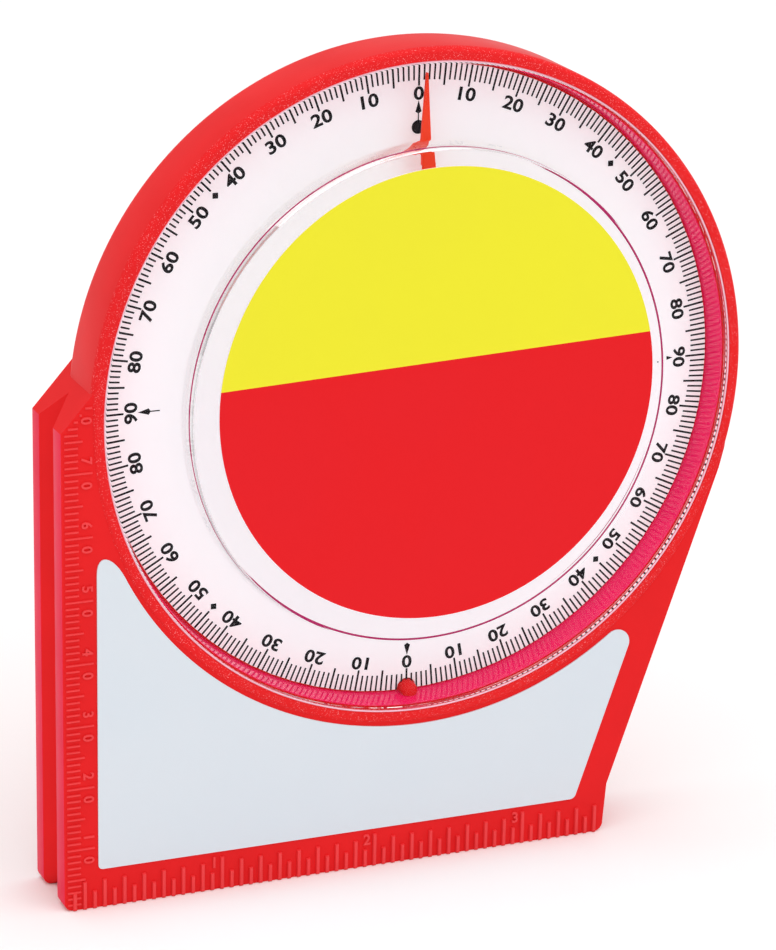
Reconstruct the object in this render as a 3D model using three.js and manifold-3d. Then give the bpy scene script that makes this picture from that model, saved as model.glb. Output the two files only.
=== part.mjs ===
// Magnetic angle finder: a gravity pointer in a round dial on a flanged base.
// Millimetres. +X runs right across the face, +Y goes into the body, +Z is up.
import * as THREE from 'three';
import { mergeVertices } from 'three/addons/utils/BufferGeometryUtils.js';
import Module from 'manifold-3d';

const wasm = await Module();
wasm.setup();

// Body: a drum standing on a flanged base. Heights are from the base, depths from the front flange face.
const DRUM_R = 53.4;
const DRUM_SIDE_INSET = 4.6;
const DRUM_LIFT = 23.3;
const DRUM_CHAMFER = 2;
const DRUM_CHAMFER_DEPTH = 3.3;
const BODY_DEPTH = 13.8;
const BASE_WIDTH = 90.5;
const KINK_STEP = 0.5;
const KINK_Z = 8;
const SHOULDER_RISE = 7.7;
const SHOULDER_DROP = 0.4;
const CORNER_R = 1.4;

// V grooves down the left side and along the base, between the front and rear flanges.
// They seat the edges on round bar, and the base groove has a flat floor with a slot for the magnets.
const FRONT_FLANGE = 3.6;
const GROOVE_WIDTH = 7;
const SIDE_GROOVE_DEPTH = 3.6;
const BASE_GROOVE_DEPTH = 1.6;
const MAGNET_SLOT_WIDTH = 3.6;
const MAGNET_SLOT_TOP = 4;

// Bezel, cover pocket and dial well.
const BEZEL_PROUD = 0.3;
const BEZEL_ROUND_R = 0.9;
const BEZEL_ROUND_Y = 1.4;
const BEZEL_STEPS = 3;
const BEZEL_WIDTH = 2;
const SEAT_Y = 1.9;
const WELL_WALL = 3.2;
const WELL_DRAFT = 0.5;
const CARD_TO_BACK = 7.8;
const CARD_THICKNESS = 0.5;
const CARD_GAP = 0.3;
const FLOOR_THICKNESS = 1.5;
const PIP_R = 1.3;
const PIP_INSET = 0.55;
const PIP_LENGTH = 2.1;

// Hollow back: a round recess behind the dial and one in the base, each closed by its own cover.
const FRONT_SKIN = 2.4;
const HOLLOW_INSET = 5.4;
const COVER_INSET = 3.4;
const COVER_THICKNESS = 2.4;
const COVER_GAP = 0.3;
const ARC_WALL = 1.2;
const BASE_COVER_DROP = 30.7;
const BOSS_R = 3.2;
const SCREW_BORE_R = 1.3;
const SCREW_BORE_DEPTH = 3;
const SCREW_RING_COUNT = 3;
const SCREW_RING_INSET = 10.9;
const BASE_SCREW_INSET = 13;
const BASE_SCREW_Z = 12.5;

// Screws of the two covers.
const SCREW_R = 1;
const SCREW_LENGTH = 5.2;
const HEAD_R = 2.6;
const HEAD_HEIGHT = 1.3;
const HEAD_LAND = 0.25;
const DRIVE_WIDTH = 0.6;
const DRIVE_DEPTH = 0.7;
const DRIVE_SPAN = 2.8;

// Moulded rules on the front flange.
const MM_PITCH = 1;
const INCH_PITCH = 25.4;
const RIB_SINK = 0.3;
const MM_RIB_PROUD = 0.3;
const MM_RIB_WIDTH = 0.3;
const MM_RULE_TOP_GAP = 3.7;
const MM_RIB_START = 0.5;
const MM_RIB_SHORT = 2.1;
const MM_RIB_FIVE = 2.8;
const MM_RIB_TEN = 4.3;
const INCH_RIB_PROUD = 0.5;
const INCH_RIB_WIDTH = 0.6;
const INCH_RIB_SHORT = 2.9;
const INCH_RIB_EIGHTH = 4.6;
const INCH_RIB_FULL = 5.4;
const INCH_DIVISIONS = 16;

// Clear cover with its raised centre.
const COVER_FRONT = 0.3;
const COVER_FIT = 0.3;
const STEP_INSET = 14;
const STEP_DRAFT = 0.15;
const STEP_WALL = 2.5;
const STEP_PROUD = 4.4;
const STEP_BEVEL = 2.1;
const STEP_BEVEL_RISE = 0.7;
const LENS_SKIN = 1.6;
const LENS_BOSS_R = 3.2;
const LENS_BOSS_LENGTH = 2.4;
const LENS_BORE_SKIN = 1.2;

// Printed disc on the cover, laid a little off its centre, and plain sheet on the base.
const DISC_MARGIN = 1.75;
const DISC_SHIFT_X = 0.4;
const DISC_SHIFT_Z = 1;
const DISC_THICKNESS = 0.2;
const SHEET_THICKNESS = 0.2;
const SHEET_LEFT = 5.4;
const SHEET_BOTTOM = 6.3;
const SHEET_RIGHT_INSET = 4.9;
const SHEET_ARC_GAP = 0.3;
const SHEET_CORNER = 0.8;
const SHEET_ROUND_TIP = 2.2;
const SHEET_TIP_DROP = 23.7;
const SHEET_TIP_REACH = 3.9;

// Pointer and what it turns on.
const POINTER_THICKNESS = 0.6;
const POINTER_TIP_GAP = 1.1;
const POINTER_TIP_WIDTH = 0.3;
const POINTER_TAPER = 0.13;
const HUB_R = 4;
const AXLE_R = 1;
const AXLE_FRONT_REACH = 0.5;
const RUNNING_GAP = 0.1;
const BUSH_R = 2;
const BUSH_FLANGE_R = 3;
const BUSH_FLANGE = 0.4;
const FRONT_BUSH_LENGTH = 1.2;
const REAR_BUSH_LENGTH = 2.4;
const REAR_BOSS_R = 4.6;
const REAR_BOSS_LENGTH = 1.6;
const WASHER_R = 2.5;
const WASHER_THICKNESS = 0.3;
const END_PLAY = 0.3;

// Counterweight under the hub and the rivets that hold it to the pointer's tail.
const WEIGHT_INNER_R = 5.2;
const WEIGHT_OUTER_R = 27;
const WEIGHT_HALF_ANGLE = 42;
const WEIGHT_BACK_GAP = 0.3;
const TAIL_R = 19;
const TAIL_WIDTH = 6.5;
const RIVET_R = 0.9;
const RIVET_HEAD_R = 1.6;
const RIVET_HEAD = 0.3;
const RIVET_RADII = [9.5, 15.5];
const RIVET_GAP = 0.3;

// Magnets in the slot of the base groove, on a steel strip.
const MAGNET_COUNT = 3;
const MAGNET_END_INSET = 6.15;
const MAGNET_SPACE = 1;
const MAGNET_CLEAR = 0.3;
const STRIP_THICKNESS = 0.8;
const MAGNET_THICKNESS = 1.9;

const DRUM_SIDES = 80;
const ROUND_SIDES = 24;
const SMALL_SIDES = 16;
const CORNER_STEPS = 4;
const OVERRUN = 1;
const MERGE_TOLERANCE = 1e-5;
const RIGHT_ANGLE = Math.PI / 2;

const RED = new THREE.Color(0.86, 0.035, 0.035);
const material = (color, roughness, metalness = 0) =>
  new THREE.MeshStandardMaterial({ color, roughness, metalness });
const redPlastic = material(RED, 0.45);
const whiteCard = material(new THREE.Color(0.93, 0.92, 0.93), 0.7);
const clearPlastic = material(new THREE.Color(0.95, 0.95, 0.96), 0.06);
clearPlastic.transparent = true;
clearPlastic.opacity = 0.3;
const discPrint = material(new THREE.Color(0.92, 0.85, 0.06), 0.4);
const greySheet = material(new THREE.Color(0.72, 0.78, 0.83), 0.5);
const orangePlastic = material(new THREE.Color(0.95, 0.1, 0.04), 0.4);
const brass = material(new THREE.Color(0.75, 0.55, 0.22), 0.3, 1);
const steel = material(new THREE.Color(0.62, 0.63, 0.65), 0.3, 1);
const zinc = material(new THREE.Color(0.5, 0.51, 0.53), 0.45, 1);
const ferrite = material(new THREE.Color(0.07, 0.07, 0.075), 0.6);
const nylon = material(new THREE.Color(0.85, 0.85, 0.82), 0.5);

// Turning a geometry into a solid and back.
function solidOf(geometry) {
  const bare = geometry.clone();
  bare.deleteAttribute('normal');
  bare.deleteAttribute('uv');
  const merged = mergeVertices(bare, MERGE_TOLERANCE);
  const index = merged.index.array;
  const faces = [];
  for (let i = 0; i < index.length; i += 3) {
    const [a, b, c] = [index[i], index[i + 1], index[i + 2]];
    if (a !== b && b !== c && c !== a) faces.push(a, b, c);
  }
  const vertProperties = new Float32Array(merged.attributes.position.array);
  return new wasm.Manifold(
    new wasm.Mesh({ numProp: 3, vertProperties, triVerts: new Uint32Array(faces) }));
}

function geometryOf(solid) {
  const mesh = solid.getMesh();
  const geometry = new THREE.BufferGeometry();
  geometry.setAttribute('position', new THREE.BufferAttribute(mesh.vertProperties, 3));
  geometry.setIndex(new THREE.BufferAttribute(mesh.triVerts, 1));
  geometry.computeVertexNormals();
  return geometry;
}

// A closed profile of [radius, y] points turned about the Y axis.
// The points run so that the solid lies on the left of the path, with y drawn upwards.
function turned(profile, sides) {
  const points = profile.map(([r, y]) => new THREE.Vector2(r, y));
  points.push(points[0].clone());
  return solidOf(new THREE.LatheGeometry(points, sides));
}

function disc(radius, front, back, sides) {
  return turned([[0, front], [radius, front], [radius, back], [0, back]], sides);
}

function tube(inner, outer, front, back, sides) {
  return turned([[inner, front], [outer, front], [outer, back], [inner, back]], sides);
}

// An outline in X and Z carried through from one depth to another.
function slab(shape, front, back, curveSegments = CORNER_STEPS) {
  const geometry = new THREE.ExtrudeGeometry(
    shape, { depth: back - front, bevelEnabled: false, curveSegments });
  geometry.rotateX(RIGHT_ANGLE);
  geometry.translate(0, back, 0);
  return solidOf(geometry);
}

function block(lowX, highX, lowY, highY, lowZ, highZ) {
  const geometry = new THREE.BoxGeometry(highX - lowX, highY - lowY, highZ - lowZ);
  geometry.translate((lowX + highX) / 2, (lowY + highY) / 2, (lowZ + highZ) / 2);
  return solidOf(geometry);
}

// A polygon whose corners are rounded, one radius to a corner.
function roundedShape(points, radii) {
  const shape = new THREE.Shape();
  points.forEach((corner, i) => {
    const before = points[(i + points.length - 1) % points.length];
    const after = points[(i + 1) % points.length];
    const start = corner.clone().add(before.clone().sub(corner).setLength(radii[i]));
    const end = corner.clone().add(after.clone().sub(corner).setLength(radii[i]));
    if (i === 0) shape.moveTo(start.x, start.y);
    else shape.lineTo(start.x, start.y);
    if (radii[i] > 0) shape.quadraticCurveTo(corner.x, corner.y, end.x, end.y);
  });
  shape.closePath();
  return shape;
}

// Sizes that follow from the drum, the depth and the base.
const dialX = DRUM_SIDE_INSET + DRUM_R;
const dialZ = DRUM_LIFT + DRUM_R;
const pocketR = DRUM_R - BEZEL_WIDTH;
const wellR = DRUM_R - WELL_WALL;
const screwRingR = DRUM_R - SCREW_RING_INSET;
const stepR = DRUM_R - STEP_INSET;
const stepTopR = stepR - STEP_DRAFT - STEP_BEVEL;
const discR = stepTopR - DISC_MARGIN;
const sheetArcR = DRUM_R + SHEET_ARC_GAP;
const pointerTipR = wellR - POINTER_TIP_GAP;
const cardY = BODY_DEPTH - CARD_TO_BACK;
const baseCoverTop = dialZ - BASE_COVER_DROP;
const magnetRow = BASE_WIDTH - 2 * MAGNET_END_INSET;
const magnetLength = (magnetRow - (MAGNET_COUNT - 1) * MAGNET_SPACE) / MAGNET_COUNT;

// The base outline: its right side leaves the kink and meets the drum as a tangent.
// Its left side slopes in at the shoulder and runs on into the drum's chamfered back edge.
const dialCentre = new THREE.Vector2(dialX, dialZ);
const kink = new THREE.Vector2(BASE_WIDTH + KINK_STEP, KINK_Z);
const fromCentre = kink.clone().sub(dialCentre);
const tangentAngle = fromCentre.angle() + Math.acos(DRUM_R / fromCentre.length());
const tangentPoint = dialCentre.clone().add(
  new THREE.Vector2(Math.cos(tangentAngle), Math.sin(tangentAngle)).multiplyScalar(DRUM_R));
const shoulderTopZ = dialZ + SHOULDER_RISE;
const shoulderBaseZ = dialZ - SHOULDER_DROP;
const shoulderTop = new THREE.Vector2(
  dialX - Math.sqrt((DRUM_R - DRUM_CHAMFER) ** 2 - SHOULDER_RISE ** 2), shoulderTopZ);
const baseCorners = [
  new THREE.Vector2(0, 0),
  new THREE.Vector2(BASE_WIDTH, 0),
  kink,
  tangentPoint,
  shoulderTop,
  new THREE.Vector2(0, shoulderBaseZ),
];

// The same outline with every side moved inwards.
function insetCorners(inset) {
  const sides = baseCorners.map((corner, i) => {
    const along = baseCorners[(i + 1) % baseCorners.length].clone().sub(corner).normalize();
    const inward = new THREE.Vector2(-along.y, along.x);
    return { point: corner.clone().addScaledVector(inward, inset), along };
  });
  return sides.map((side, i) => {
    const last = sides[(i + sides.length - 1) % sides.length];
    const gap = side.point.clone().sub(last.point);
    const travel = gap.cross(side.along) / last.along.cross(side.along);
    return last.point.clone().addScaledVector(last.along, travel);
  });
}

function baseSlab(inset, front, back) {
  const radii = [CORNER_R, CORNER_R, 0, 0, 0, 0];
  return slab(roundedShape(insetCorners(inset), radii), front, back);
}

const floorBackY = cardY + CARD_THICKNESS + FLOOR_THICKNESS;
const coverFrontY = BODY_DEPTH - COVER_THICKNESS;
const grooveMidY = FRONT_FLANGE + GROOVE_WIDTH / 2;
const atDial = (solid) => solid.translate([dialX, 0, dialZ]);

// The magnets' slot is centred along the base and holds their whole row.
const slotLength = magnetRow + 2 * MAGNET_CLEAR;
const slotStart = (BASE_WIDTH - slotLength) / 2;
const slotEnd = slotStart + slotLength;

// Places of the covers' screws: a ring behind the dial and two in the base.
const baseScrews = [
  [BASE_SCREW_INSET, BASE_SCREW_Z],
  [BASE_WIDTH - BASE_SCREW_INSET, BASE_SCREW_Z],
];
const ringScrews = [];
for (let i = 0; i < SCREW_RING_COUNT; i += 1) {
  const angle = RIGHT_ANGLE + i * 2 * Math.PI / SCREW_RING_COUNT;
  ringScrews.push([dialX + screwRingR * Math.cos(angle), dialZ + screwRingR * Math.sin(angle)]);
}

// The base's recess and hollow follow the base outline and keep a wall round the drum.
function basePocket(inset, arcWall, top, front, back) {
  return baseSlab(inset, front, back)
    .subtract(atDial(disc(DRUM_R + arcWall, front - OVERRUN, back + OVERRUN, DRUM_SIDES)))
    .subtract(block(-OVERRUN, dialX, front - OVERRUN, back + OVERRUN, top, shoulderTopZ + OVERRUN));
}

// Rules: raised marks on the front flange, millimetres up the side and sixteenths along the base.
function ruleRibs() {
  const ribs = [];
  for (let mark = 1; mark * MM_PITCH <= shoulderTopZ - MM_RULE_TOP_GAP; mark += 1) {
    const length = mark % 10 === 0 ? MM_RIB_TEN : mark % 5 === 0 ? MM_RIB_FIVE : MM_RIB_SHORT;
    const z = mark * MM_PITCH;
    const edge = Math.max(0, (z - shoulderBaseZ) * shoulderTop.x / (shoulderTopZ - shoulderBaseZ));
    const start = edge + MM_RIB_START;
    const end = Math.max(MM_RIB_START + length, start + MM_RIB_WIDTH);
    const half = MM_RIB_WIDTH / 2;
    ribs.push(block(start, end, -MM_RIB_PROUD, RIB_SINK, z - half, z + half));
  }
  for (let mark = 1; mark * INCH_PITCH / INCH_DIVISIONS <= BASE_WIDTH - CORNER_R; mark += 1) {
    const whole = mark % INCH_DIVISIONS === 0;
    const length = whole ? INCH_RIB_FULL : mark % 2 === 0 ? INCH_RIB_EIGHTH : INCH_RIB_SHORT;
    const x = mark * INCH_PITCH / INCH_DIVISIONS;
    const half = INCH_RIB_WIDTH / 2;
    ribs.push(block(x - half, x + half, -INCH_RIB_PROUD, RIB_SINK, 0, length));
  }
  return ribs;
}

function screwBoss([x, z], front) {
  return disc(BOSS_R, front, coverFrontY, SMALL_SIDES).translate([x, 0, z]);
}

// The side groove is a full V that runs out on the sloping shoulder.
function sideGroove() {
  const widen = GROOVE_WIDTH / 2 * OVERRUN / SIDE_GROOVE_DEPTH;
  const section = new THREE.Shape([
    new THREE.Vector2(-OVERRUN, -(FRONT_FLANGE - widen)),
    new THREE.Vector2(-OVERRUN, -(FRONT_FLANGE + GROOVE_WIDTH + widen)),
    new THREE.Vector2(SIDE_GROOVE_DEPTH, -grooveMidY),
  ]);
  const geometry = new THREE.ExtrudeGeometry(
    section, { depth: shoulderTopZ + OVERRUN + OVERRUN, bevelEnabled: false });
  geometry.scale(1, -1, -1);
  geometry.translate(0, 0, shoulderTopZ + OVERRUN);
  return solidOf(geometry);
}

// The base groove is a V cut short by its floor. It runs through both ends of the base.
function baseGroove() {
  const widen = (GROOVE_WIDTH - MAGNET_SLOT_WIDTH) / 2 * OVERRUN / BASE_GROOVE_DEPTH;
  const section = new THREE.Shape([
    new THREE.Vector2(FRONT_FLANGE - widen, -OVERRUN),
    new THREE.Vector2(FRONT_FLANGE + GROOVE_WIDTH + widen, -OVERRUN),
    new THREE.Vector2(grooveMidY + MAGNET_SLOT_WIDTH / 2, BASE_GROOVE_DEPTH),
    new THREE.Vector2(grooveMidY - MAGNET_SLOT_WIDTH / 2, BASE_GROOVE_DEPTH),
  ]);
  const geometry = new THREE.ExtrudeGeometry(
    section, { depth: kink.x + OVERRUN + OVERRUN, bevelEnabled: false });
  geometry.rotateX(RIGHT_ANGLE);
  geometry.rotateZ(RIGHT_ANGLE);
  geometry.translate(-OVERRUN, 0, 0);
  return solidOf(geometry);
}

function magnetSlot() {
  return block(slotStart, slotEnd, grooveMidY - MAGNET_SLOT_WIDTH / 2,
    grooveMidY + MAGNET_SLOT_WIDTH / 2, 0, MAGNET_SLOT_TOP);
}

function makeHousing() {
  const rounding = [];
  for (let step = 0; step <= BEZEL_STEPS; step += 1) {
    const angle = RIGHT_ANGLE * step / BEZEL_STEPS;
    rounding.push([
      DRUM_R - BEZEL_ROUND_R * (1 - Math.sin(angle)),
      BEZEL_ROUND_Y * (1 - Math.cos(angle)) - BEZEL_PROUD,
    ]);
  }
  const drum = atDial(turned([
    [0, -BEZEL_PROUD],
    ...rounding,
    [DRUM_R, BODY_DEPTH - DRUM_CHAMFER_DEPTH],
    [DRUM_R - DRUM_CHAMFER, BODY_DEPTH],
    [0, BODY_DEPTH],
  ], DRUM_SIDES));
  let body = baseSlab(0, 0, BODY_DEPTH).add(drum)
    .subtract(sideGroove())
    .subtract(baseGroove())
    .subtract(magnetSlot());

  // Cover pocket, dial well, and the pip that keeps the card from turning.
  body = body
    .subtract(atDial(disc(pocketR, -BEZEL_PROUD - OVERRUN, SEAT_Y, DRUM_SIDES)))
    .subtract(atDial(turned([
      [0, SEAT_Y - OVERRUN],
      [wellR + WELL_DRAFT, SEAT_Y - OVERRUN],
      [wellR + WELL_DRAFT, SEAT_Y],
      [wellR, cardY],
      [wellR, cardY + CARD_THICKNESS],
      [0, cardY + CARD_THICKNESS],
    ], DRUM_SIDES)));
  const pip = disc(PIP_R, cardY - PIP_LENGTH, cardY + CARD_THICKNESS, SMALL_SIDES)
    .translate([dialX, 0, dialZ - wellR + PIP_INSET]);
  body = body.add(pip);

  // Hollow back: a shallow round behind the dial, a deep one in the base, and the covers' recesses.
  const ledge = HOLLOW_INSET - COVER_INSET;
  body = body
    .subtract(atDial(disc(DRUM_R - COVER_INSET, coverFrontY, BODY_DEPTH + OVERRUN, DRUM_SIDES)))
    .subtract(atDial(disc(DRUM_R - HOLLOW_INSET, floorBackY, BODY_DEPTH, DRUM_SIDES)))
    .subtract(basePocket(COVER_INSET, ARC_WALL, baseCoverTop, coverFrontY, BODY_DEPTH + OVERRUN))
    .subtract(basePocket(HOLLOW_INSET, ARC_WALL + ledge, baseCoverTop - ledge, FRONT_SKIN, BODY_DEPTH));

  // Screw bosses with their bores, and the boss of the rear bush.
  const addBosses = (places, front) => places.forEach((place) => {
    const bore = disc(SCREW_BORE_R, coverFrontY - SCREW_BORE_DEPTH, coverFrontY + OVERRUN, SMALL_SIDES)
      .translate([place[0], 0, place[1]]);
    body = body.add(screwBoss(place, front)).subtract(bore);
  });
  addBosses(ringScrews, cardY + CARD_THICKNESS);
  addBosses(baseScrews, 0);
  body = body
    .add(atDial(disc(REAR_BOSS_R, cardBackY, floorBackY + REAR_BOSS_LENGTH, ROUND_SIDES)))
    .subtract(atDial(disc(BUSH_R + RUNNING_GAP, 0, floorBackY + REAR_BOSS_LENGTH + OVERRUN, ROUND_SIDES)));

  return wasm.Manifold.union([body, ...ruleRibs()]);
}

// A cover plate with a countersunk hole for each of its screws.
function withScrewHoles(cover, places) {
  const recesses = places.map(([x, z]) => turned([
    [0, coverFrontY - OVERRUN],
    [SCREW_R + COVER_GAP, coverFrontY - OVERRUN],
    [SCREW_R + COVER_GAP, BODY_DEPTH - HEAD_HEIGHT - COVER_GAP],
    [HEAD_R + COVER_GAP, BODY_DEPTH - HEAD_LAND],
    [HEAD_R + COVER_GAP, BODY_DEPTH + OVERRUN],
    [0, BODY_DEPTH + OVERRUN],
  ], SMALL_SIDES).translate([x, 0, z]));
  return cover.subtract(wasm.Manifold.union(recesses));
}

function makeRearCover() {
  const plate = atDial(disc(DRUM_R - COVER_INSET - COVER_GAP, coverFrontY, BODY_DEPTH, DRUM_SIDES));
  return withScrewHoles(plate, ringScrews);
}

function makeBaseCover() {
  const plate = basePocket(
    COVER_INSET + COVER_GAP, ARC_WALL + COVER_GAP, baseCoverTop - COVER_GAP, coverFrontY, BODY_DEPTH);
  return withScrewHoles(plate, baseScrews);
}

// A countersunk screw along Y, its head flush with the back at y zero, with a cross recess.
function makeScrew() {
  const screw = turned([
    [0, -SCREW_LENGTH],
    [SCREW_R / 2, -SCREW_LENGTH],
    [SCREW_R, -SCREW_LENGTH + SCREW_R],
    [SCREW_R, -HEAD_HEIGHT],
    [HEAD_R, -HEAD_LAND],
    [HEAD_R, 0],
    [0, 0],
  ], SMALL_SIDES);
  const long = DRIVE_SPAN / 2;
  const thin = DRIVE_WIDTH / 2;
  return screw
    .subtract(block(-long, long, -DRIVE_DEPTH, OVERRUN, -thin, thin))
    .subtract(block(-thin, thin, -DRIVE_DEPTH, OVERRUN, -long, long));
}

// The parts on the dial's axis are modelled about their own Y axis.
const lensFrontY = COVER_FRONT - BEZEL_PROUD;
const raisedY = lensFrontY - STEP_PROUD;
const lensBossY = raisedY + LENS_SKIN + LENS_BOSS_LENGTH;
const cardBackY = cardY + CARD_THICKNESS;
const rearFlangeY = cardBackY - BUSH_FLANGE;
const hubFrontY = lensBossY + BUSH_FLANGE + END_PLAY + WASHER_THICKNESS;
const hubBackY = rearFlangeY - END_PLAY - WASHER_THICKNESS;
const pointerY = (hubFrontY + hubBackY - POINTER_THICKNESS) / 2;
const weightY = pointerY + POINTER_THICKNESS;
const weightThickness = hubBackY - WEIGHT_BACK_GAP - weightY;

function makeClearCover() {
  return turned([
    [0, raisedY],
    [stepTopR, raisedY],
    [stepR - STEP_DRAFT, raisedY + STEP_BEVEL_RISE],
    [stepR, lensFrontY],
    [pocketR - COVER_FIT, lensFrontY],
    [pocketR - COVER_FIT, SEAT_Y],
    [stepR - STEP_WALL, SEAT_Y],
    [stepR - STEP_WALL, raisedY + LENS_SKIN],
    [LENS_BOSS_R, raisedY + LENS_SKIN],
    [LENS_BOSS_R, lensBossY],
    [BUSH_R + RUNNING_GAP, lensBossY],
    [BUSH_R + RUNNING_GAP, raisedY + LENS_BORE_SKIN],
    [0, raisedY + LENS_BORE_SKIN],
  ], DRUM_SIDES);
}

function makeCard() {
  const notch = disc(PIP_R + CARD_GAP, cardY - OVERRUN, cardY + CARD_THICKNESS + OVERRUN, SMALL_SIDES)
    .translate([0, 0, -wellR + PIP_INSET]);
  return tube(BUSH_FLANGE_R + RUNNING_GAP, wellR - CARD_GAP, cardY, cardY + CARD_THICKNESS, DRUM_SIDES)
    .subtract(notch);
}

// The sheet follows the base outline and leaves a band of flange round the bezel.
function makeSheet() {
  const right = insetCorners(SHEET_RIGHT_INSET);
  const slope = right[3].clone().sub(right[2]).normalize();
  const lowRight = right[2].clone().addScaledVector(slope, (SHEET_BOTTOM - right[2].y) / slope.y);
  const arcPoint = (angle) => dialCentre.clone().add(
    new THREE.Vector2(Math.cos(angle), Math.sin(angle)).multiplyScalar(sheetArcR));
  // The right tip's round touches both the slope and the arc.
  const inward = new THREE.Vector2(-slope.y, slope.x);
  const toRound = lowRight.clone().addScaledVector(inward, SHEET_ROUND_TIP).sub(dialCentre);
  const nearest = -toRound.dot(slope);
  const reach = Math.sqrt((sheetArcR + SHEET_ROUND_TIP) ** 2 - (toRound.lengthSq() - nearest ** 2));
  toRound.addScaledVector(slope, nearest - reach);
  const round = dialCentre.clone().add(toRound);
  const rightAngle = toRound.angle();
  const tipAngle = Math.PI + Math.asin(SHEET_TIP_DROP / sheetArcR);
  const tip = arcPoint(tipAngle);
  const tipTurn = new THREE.Vector2(Math.sin(tipAngle), -Math.cos(tipAngle));
  tip.addScaledVector(tipTurn, SHEET_TIP_REACH);
  const shape = new THREE.Shape();
  shape.moveTo(SHEET_LEFT, SHEET_BOTTOM + SHEET_CORNER);
  shape.quadraticCurveTo(SHEET_LEFT, SHEET_BOTTOM, SHEET_LEFT + SHEET_CORNER, SHEET_BOTTOM);
  shape.lineTo(lowRight.x - SHEET_CORNER, SHEET_BOTTOM);
  const lowTurn = lowRight.clone().addScaledVector(slope, SHEET_CORNER);
  shape.quadraticCurveTo(lowRight.x, lowRight.y, lowTurn.x, lowTurn.y);
  shape.absarc(round.x, round.y, SHEET_ROUND_TIP, slope.angle() - Math.PI / 2, rightAngle + Math.PI, false);
  shape.absarc(dialX, dialZ, sheetArcR, rightAngle, tipAngle, true);
  const leftTop = dialZ - SHEET_TIP_DROP + SHEET_CORNER;
  shape.bezierCurveTo(tip.x, tip.y, SHEET_LEFT, leftTop + SHEET_TIP_REACH, SHEET_LEFT, leftTop);
  shape.closePath();
  return slab(shape, -SHEET_THICKNESS, 0, ROUND_SIDES / 2);
}

function makePointer() {
  const halfAt = (radius) => POINTER_TIP_WIDTH / 2 + (pointerTipR - radius) * POINTER_TAPER / 2;
  const blade = new THREE.Shape([
    new THREE.Vector2(-halfAt(0), 0),
    new THREE.Vector2(halfAt(0), 0),
    new THREE.Vector2(POINTER_TIP_WIDTH / 2, pointerTipR),
    new THREE.Vector2(-POINTER_TIP_WIDTH / 2, pointerTipR),
  ]);
  const back = pointerY + POINTER_THICKNESS;
  let pointer = slab(blade, pointerY, back)
    .add(block(-TAIL_WIDTH / 2, TAIL_WIDTH / 2, pointerY, back, -TAIL_R, 0))
    .add(disc(HUB_R, hubFrontY, hubBackY, ROUND_SIDES))
    .subtract(disc(AXLE_R + RUNNING_GAP, 0, BODY_DEPTH, SMALL_SIDES));
  RIVET_RADII.forEach((radius) => {
    const hole = disc(RIVET_R + RIVET_GAP, 0, BODY_DEPTH, SMALL_SIDES).translate([0, 0, -radius]);
    pointer = pointer.subtract(hole);
  });
  return pointer;
}

function makeCounterweight() {
  const half = THREE.MathUtils.degToRad(WEIGHT_HALF_ANGLE);
  const sector = new THREE.Shape();
  sector.absarc(0, 0, WEIGHT_OUTER_R, -RIGHT_ANGLE - half, -RIGHT_ANGLE + half, false);
  sector.absarc(0, 0, WEIGHT_INNER_R, -RIGHT_ANGLE + half, -RIGHT_ANGLE - half, true);
  sector.closePath();
  let weight = slab(sector, weightY, weightY + weightThickness, ROUND_SIDES / 2);
  RIVET_RADII.forEach((radius) => {
    const hole = disc(RIVET_R + RIVET_GAP, 0, BODY_DEPTH, SMALL_SIDES).translate([0, 0, -radius]);
    weight = weight.subtract(hole);
  });
  return weight;
}

// A rivet along Y whose heads rest on the pointer's tail and on the back of the weight.
function makeRivet() {
  const front = pointerY;
  const back = weightY + weightThickness;
  return turned([
    [0, front - RIVET_HEAD],
    [RIVET_HEAD_R, front - RIVET_HEAD],
    [RIVET_HEAD_R, front],
    [RIVET_R, front],
    [RIVET_R, back],
    [RIVET_HEAD_R, back],
    [RIVET_HEAD_R, back + RIVET_HEAD],
    [0, back + RIVET_HEAD],
  ], SMALL_SIDES);
}

// Flanged bushes: the front one faces back out of the cover's boss, the rear one faces forward.
function makeFrontBush() {
  const bore = AXLE_R + RUNNING_GAP;
  return turned([
    [bore, lensBossY - FRONT_BUSH_LENGTH],
    [BUSH_R, lensBossY - FRONT_BUSH_LENGTH],
    [BUSH_R, lensBossY],
    [BUSH_FLANGE_R, lensBossY],
    [BUSH_FLANGE_R, lensBossY + BUSH_FLANGE],
    [bore, lensBossY + BUSH_FLANGE],
  ], SMALL_SIDES);
}

function makeRearBush() {
  const bore = AXLE_R + RUNNING_GAP;
  return turned([
    [bore, rearFlangeY],
    [BUSH_FLANGE_R, rearFlangeY],
    [BUSH_FLANGE_R, cardBackY],
    [BUSH_R, cardBackY],
    [BUSH_R, cardBackY + REAR_BUSH_LENGTH],
    [bore, cardBackY + REAR_BUSH_LENGTH],
  ], SMALL_SIDES);
}

// Washers lie against the hub's two ends and turn with it.
function makeWasher(front) {
  return tube(AXLE_R + RUNNING_GAP, WASHER_R, front, front + WASHER_THICKNESS, SMALL_SIDES);
}

function makeAxle() {
  const front = lensBossY - FRONT_BUSH_LENGTH - AXLE_FRONT_REACH;
  const back = cardBackY + REAR_BUSH_LENGTH;
  return turned([
    [0, front],
    [AXLE_R / 2, front],
    [AXLE_R, front + AXLE_R / 2],
    [AXLE_R, back - AXLE_R / 2],
    [AXLE_R / 2, back],
    [0, back],
  ], SMALL_SIDES);
}

// The object: a body group with the dial's axis inside it.
const object = new THREE.Group();
const body = new THREE.Group();
const dial = new THREE.Group();
dial.position.set(dialX, 0, dialZ);
body.add(dial);
object.add(body);

function place(parent, name, solid, finish, position = [0, 0, 0]) {
  const mesh = new THREE.Mesh(geometryOf(solid), finish);
  mesh.name = name;
  mesh.position.set(...position);
  parent.add(mesh);
  return mesh;
}

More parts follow.
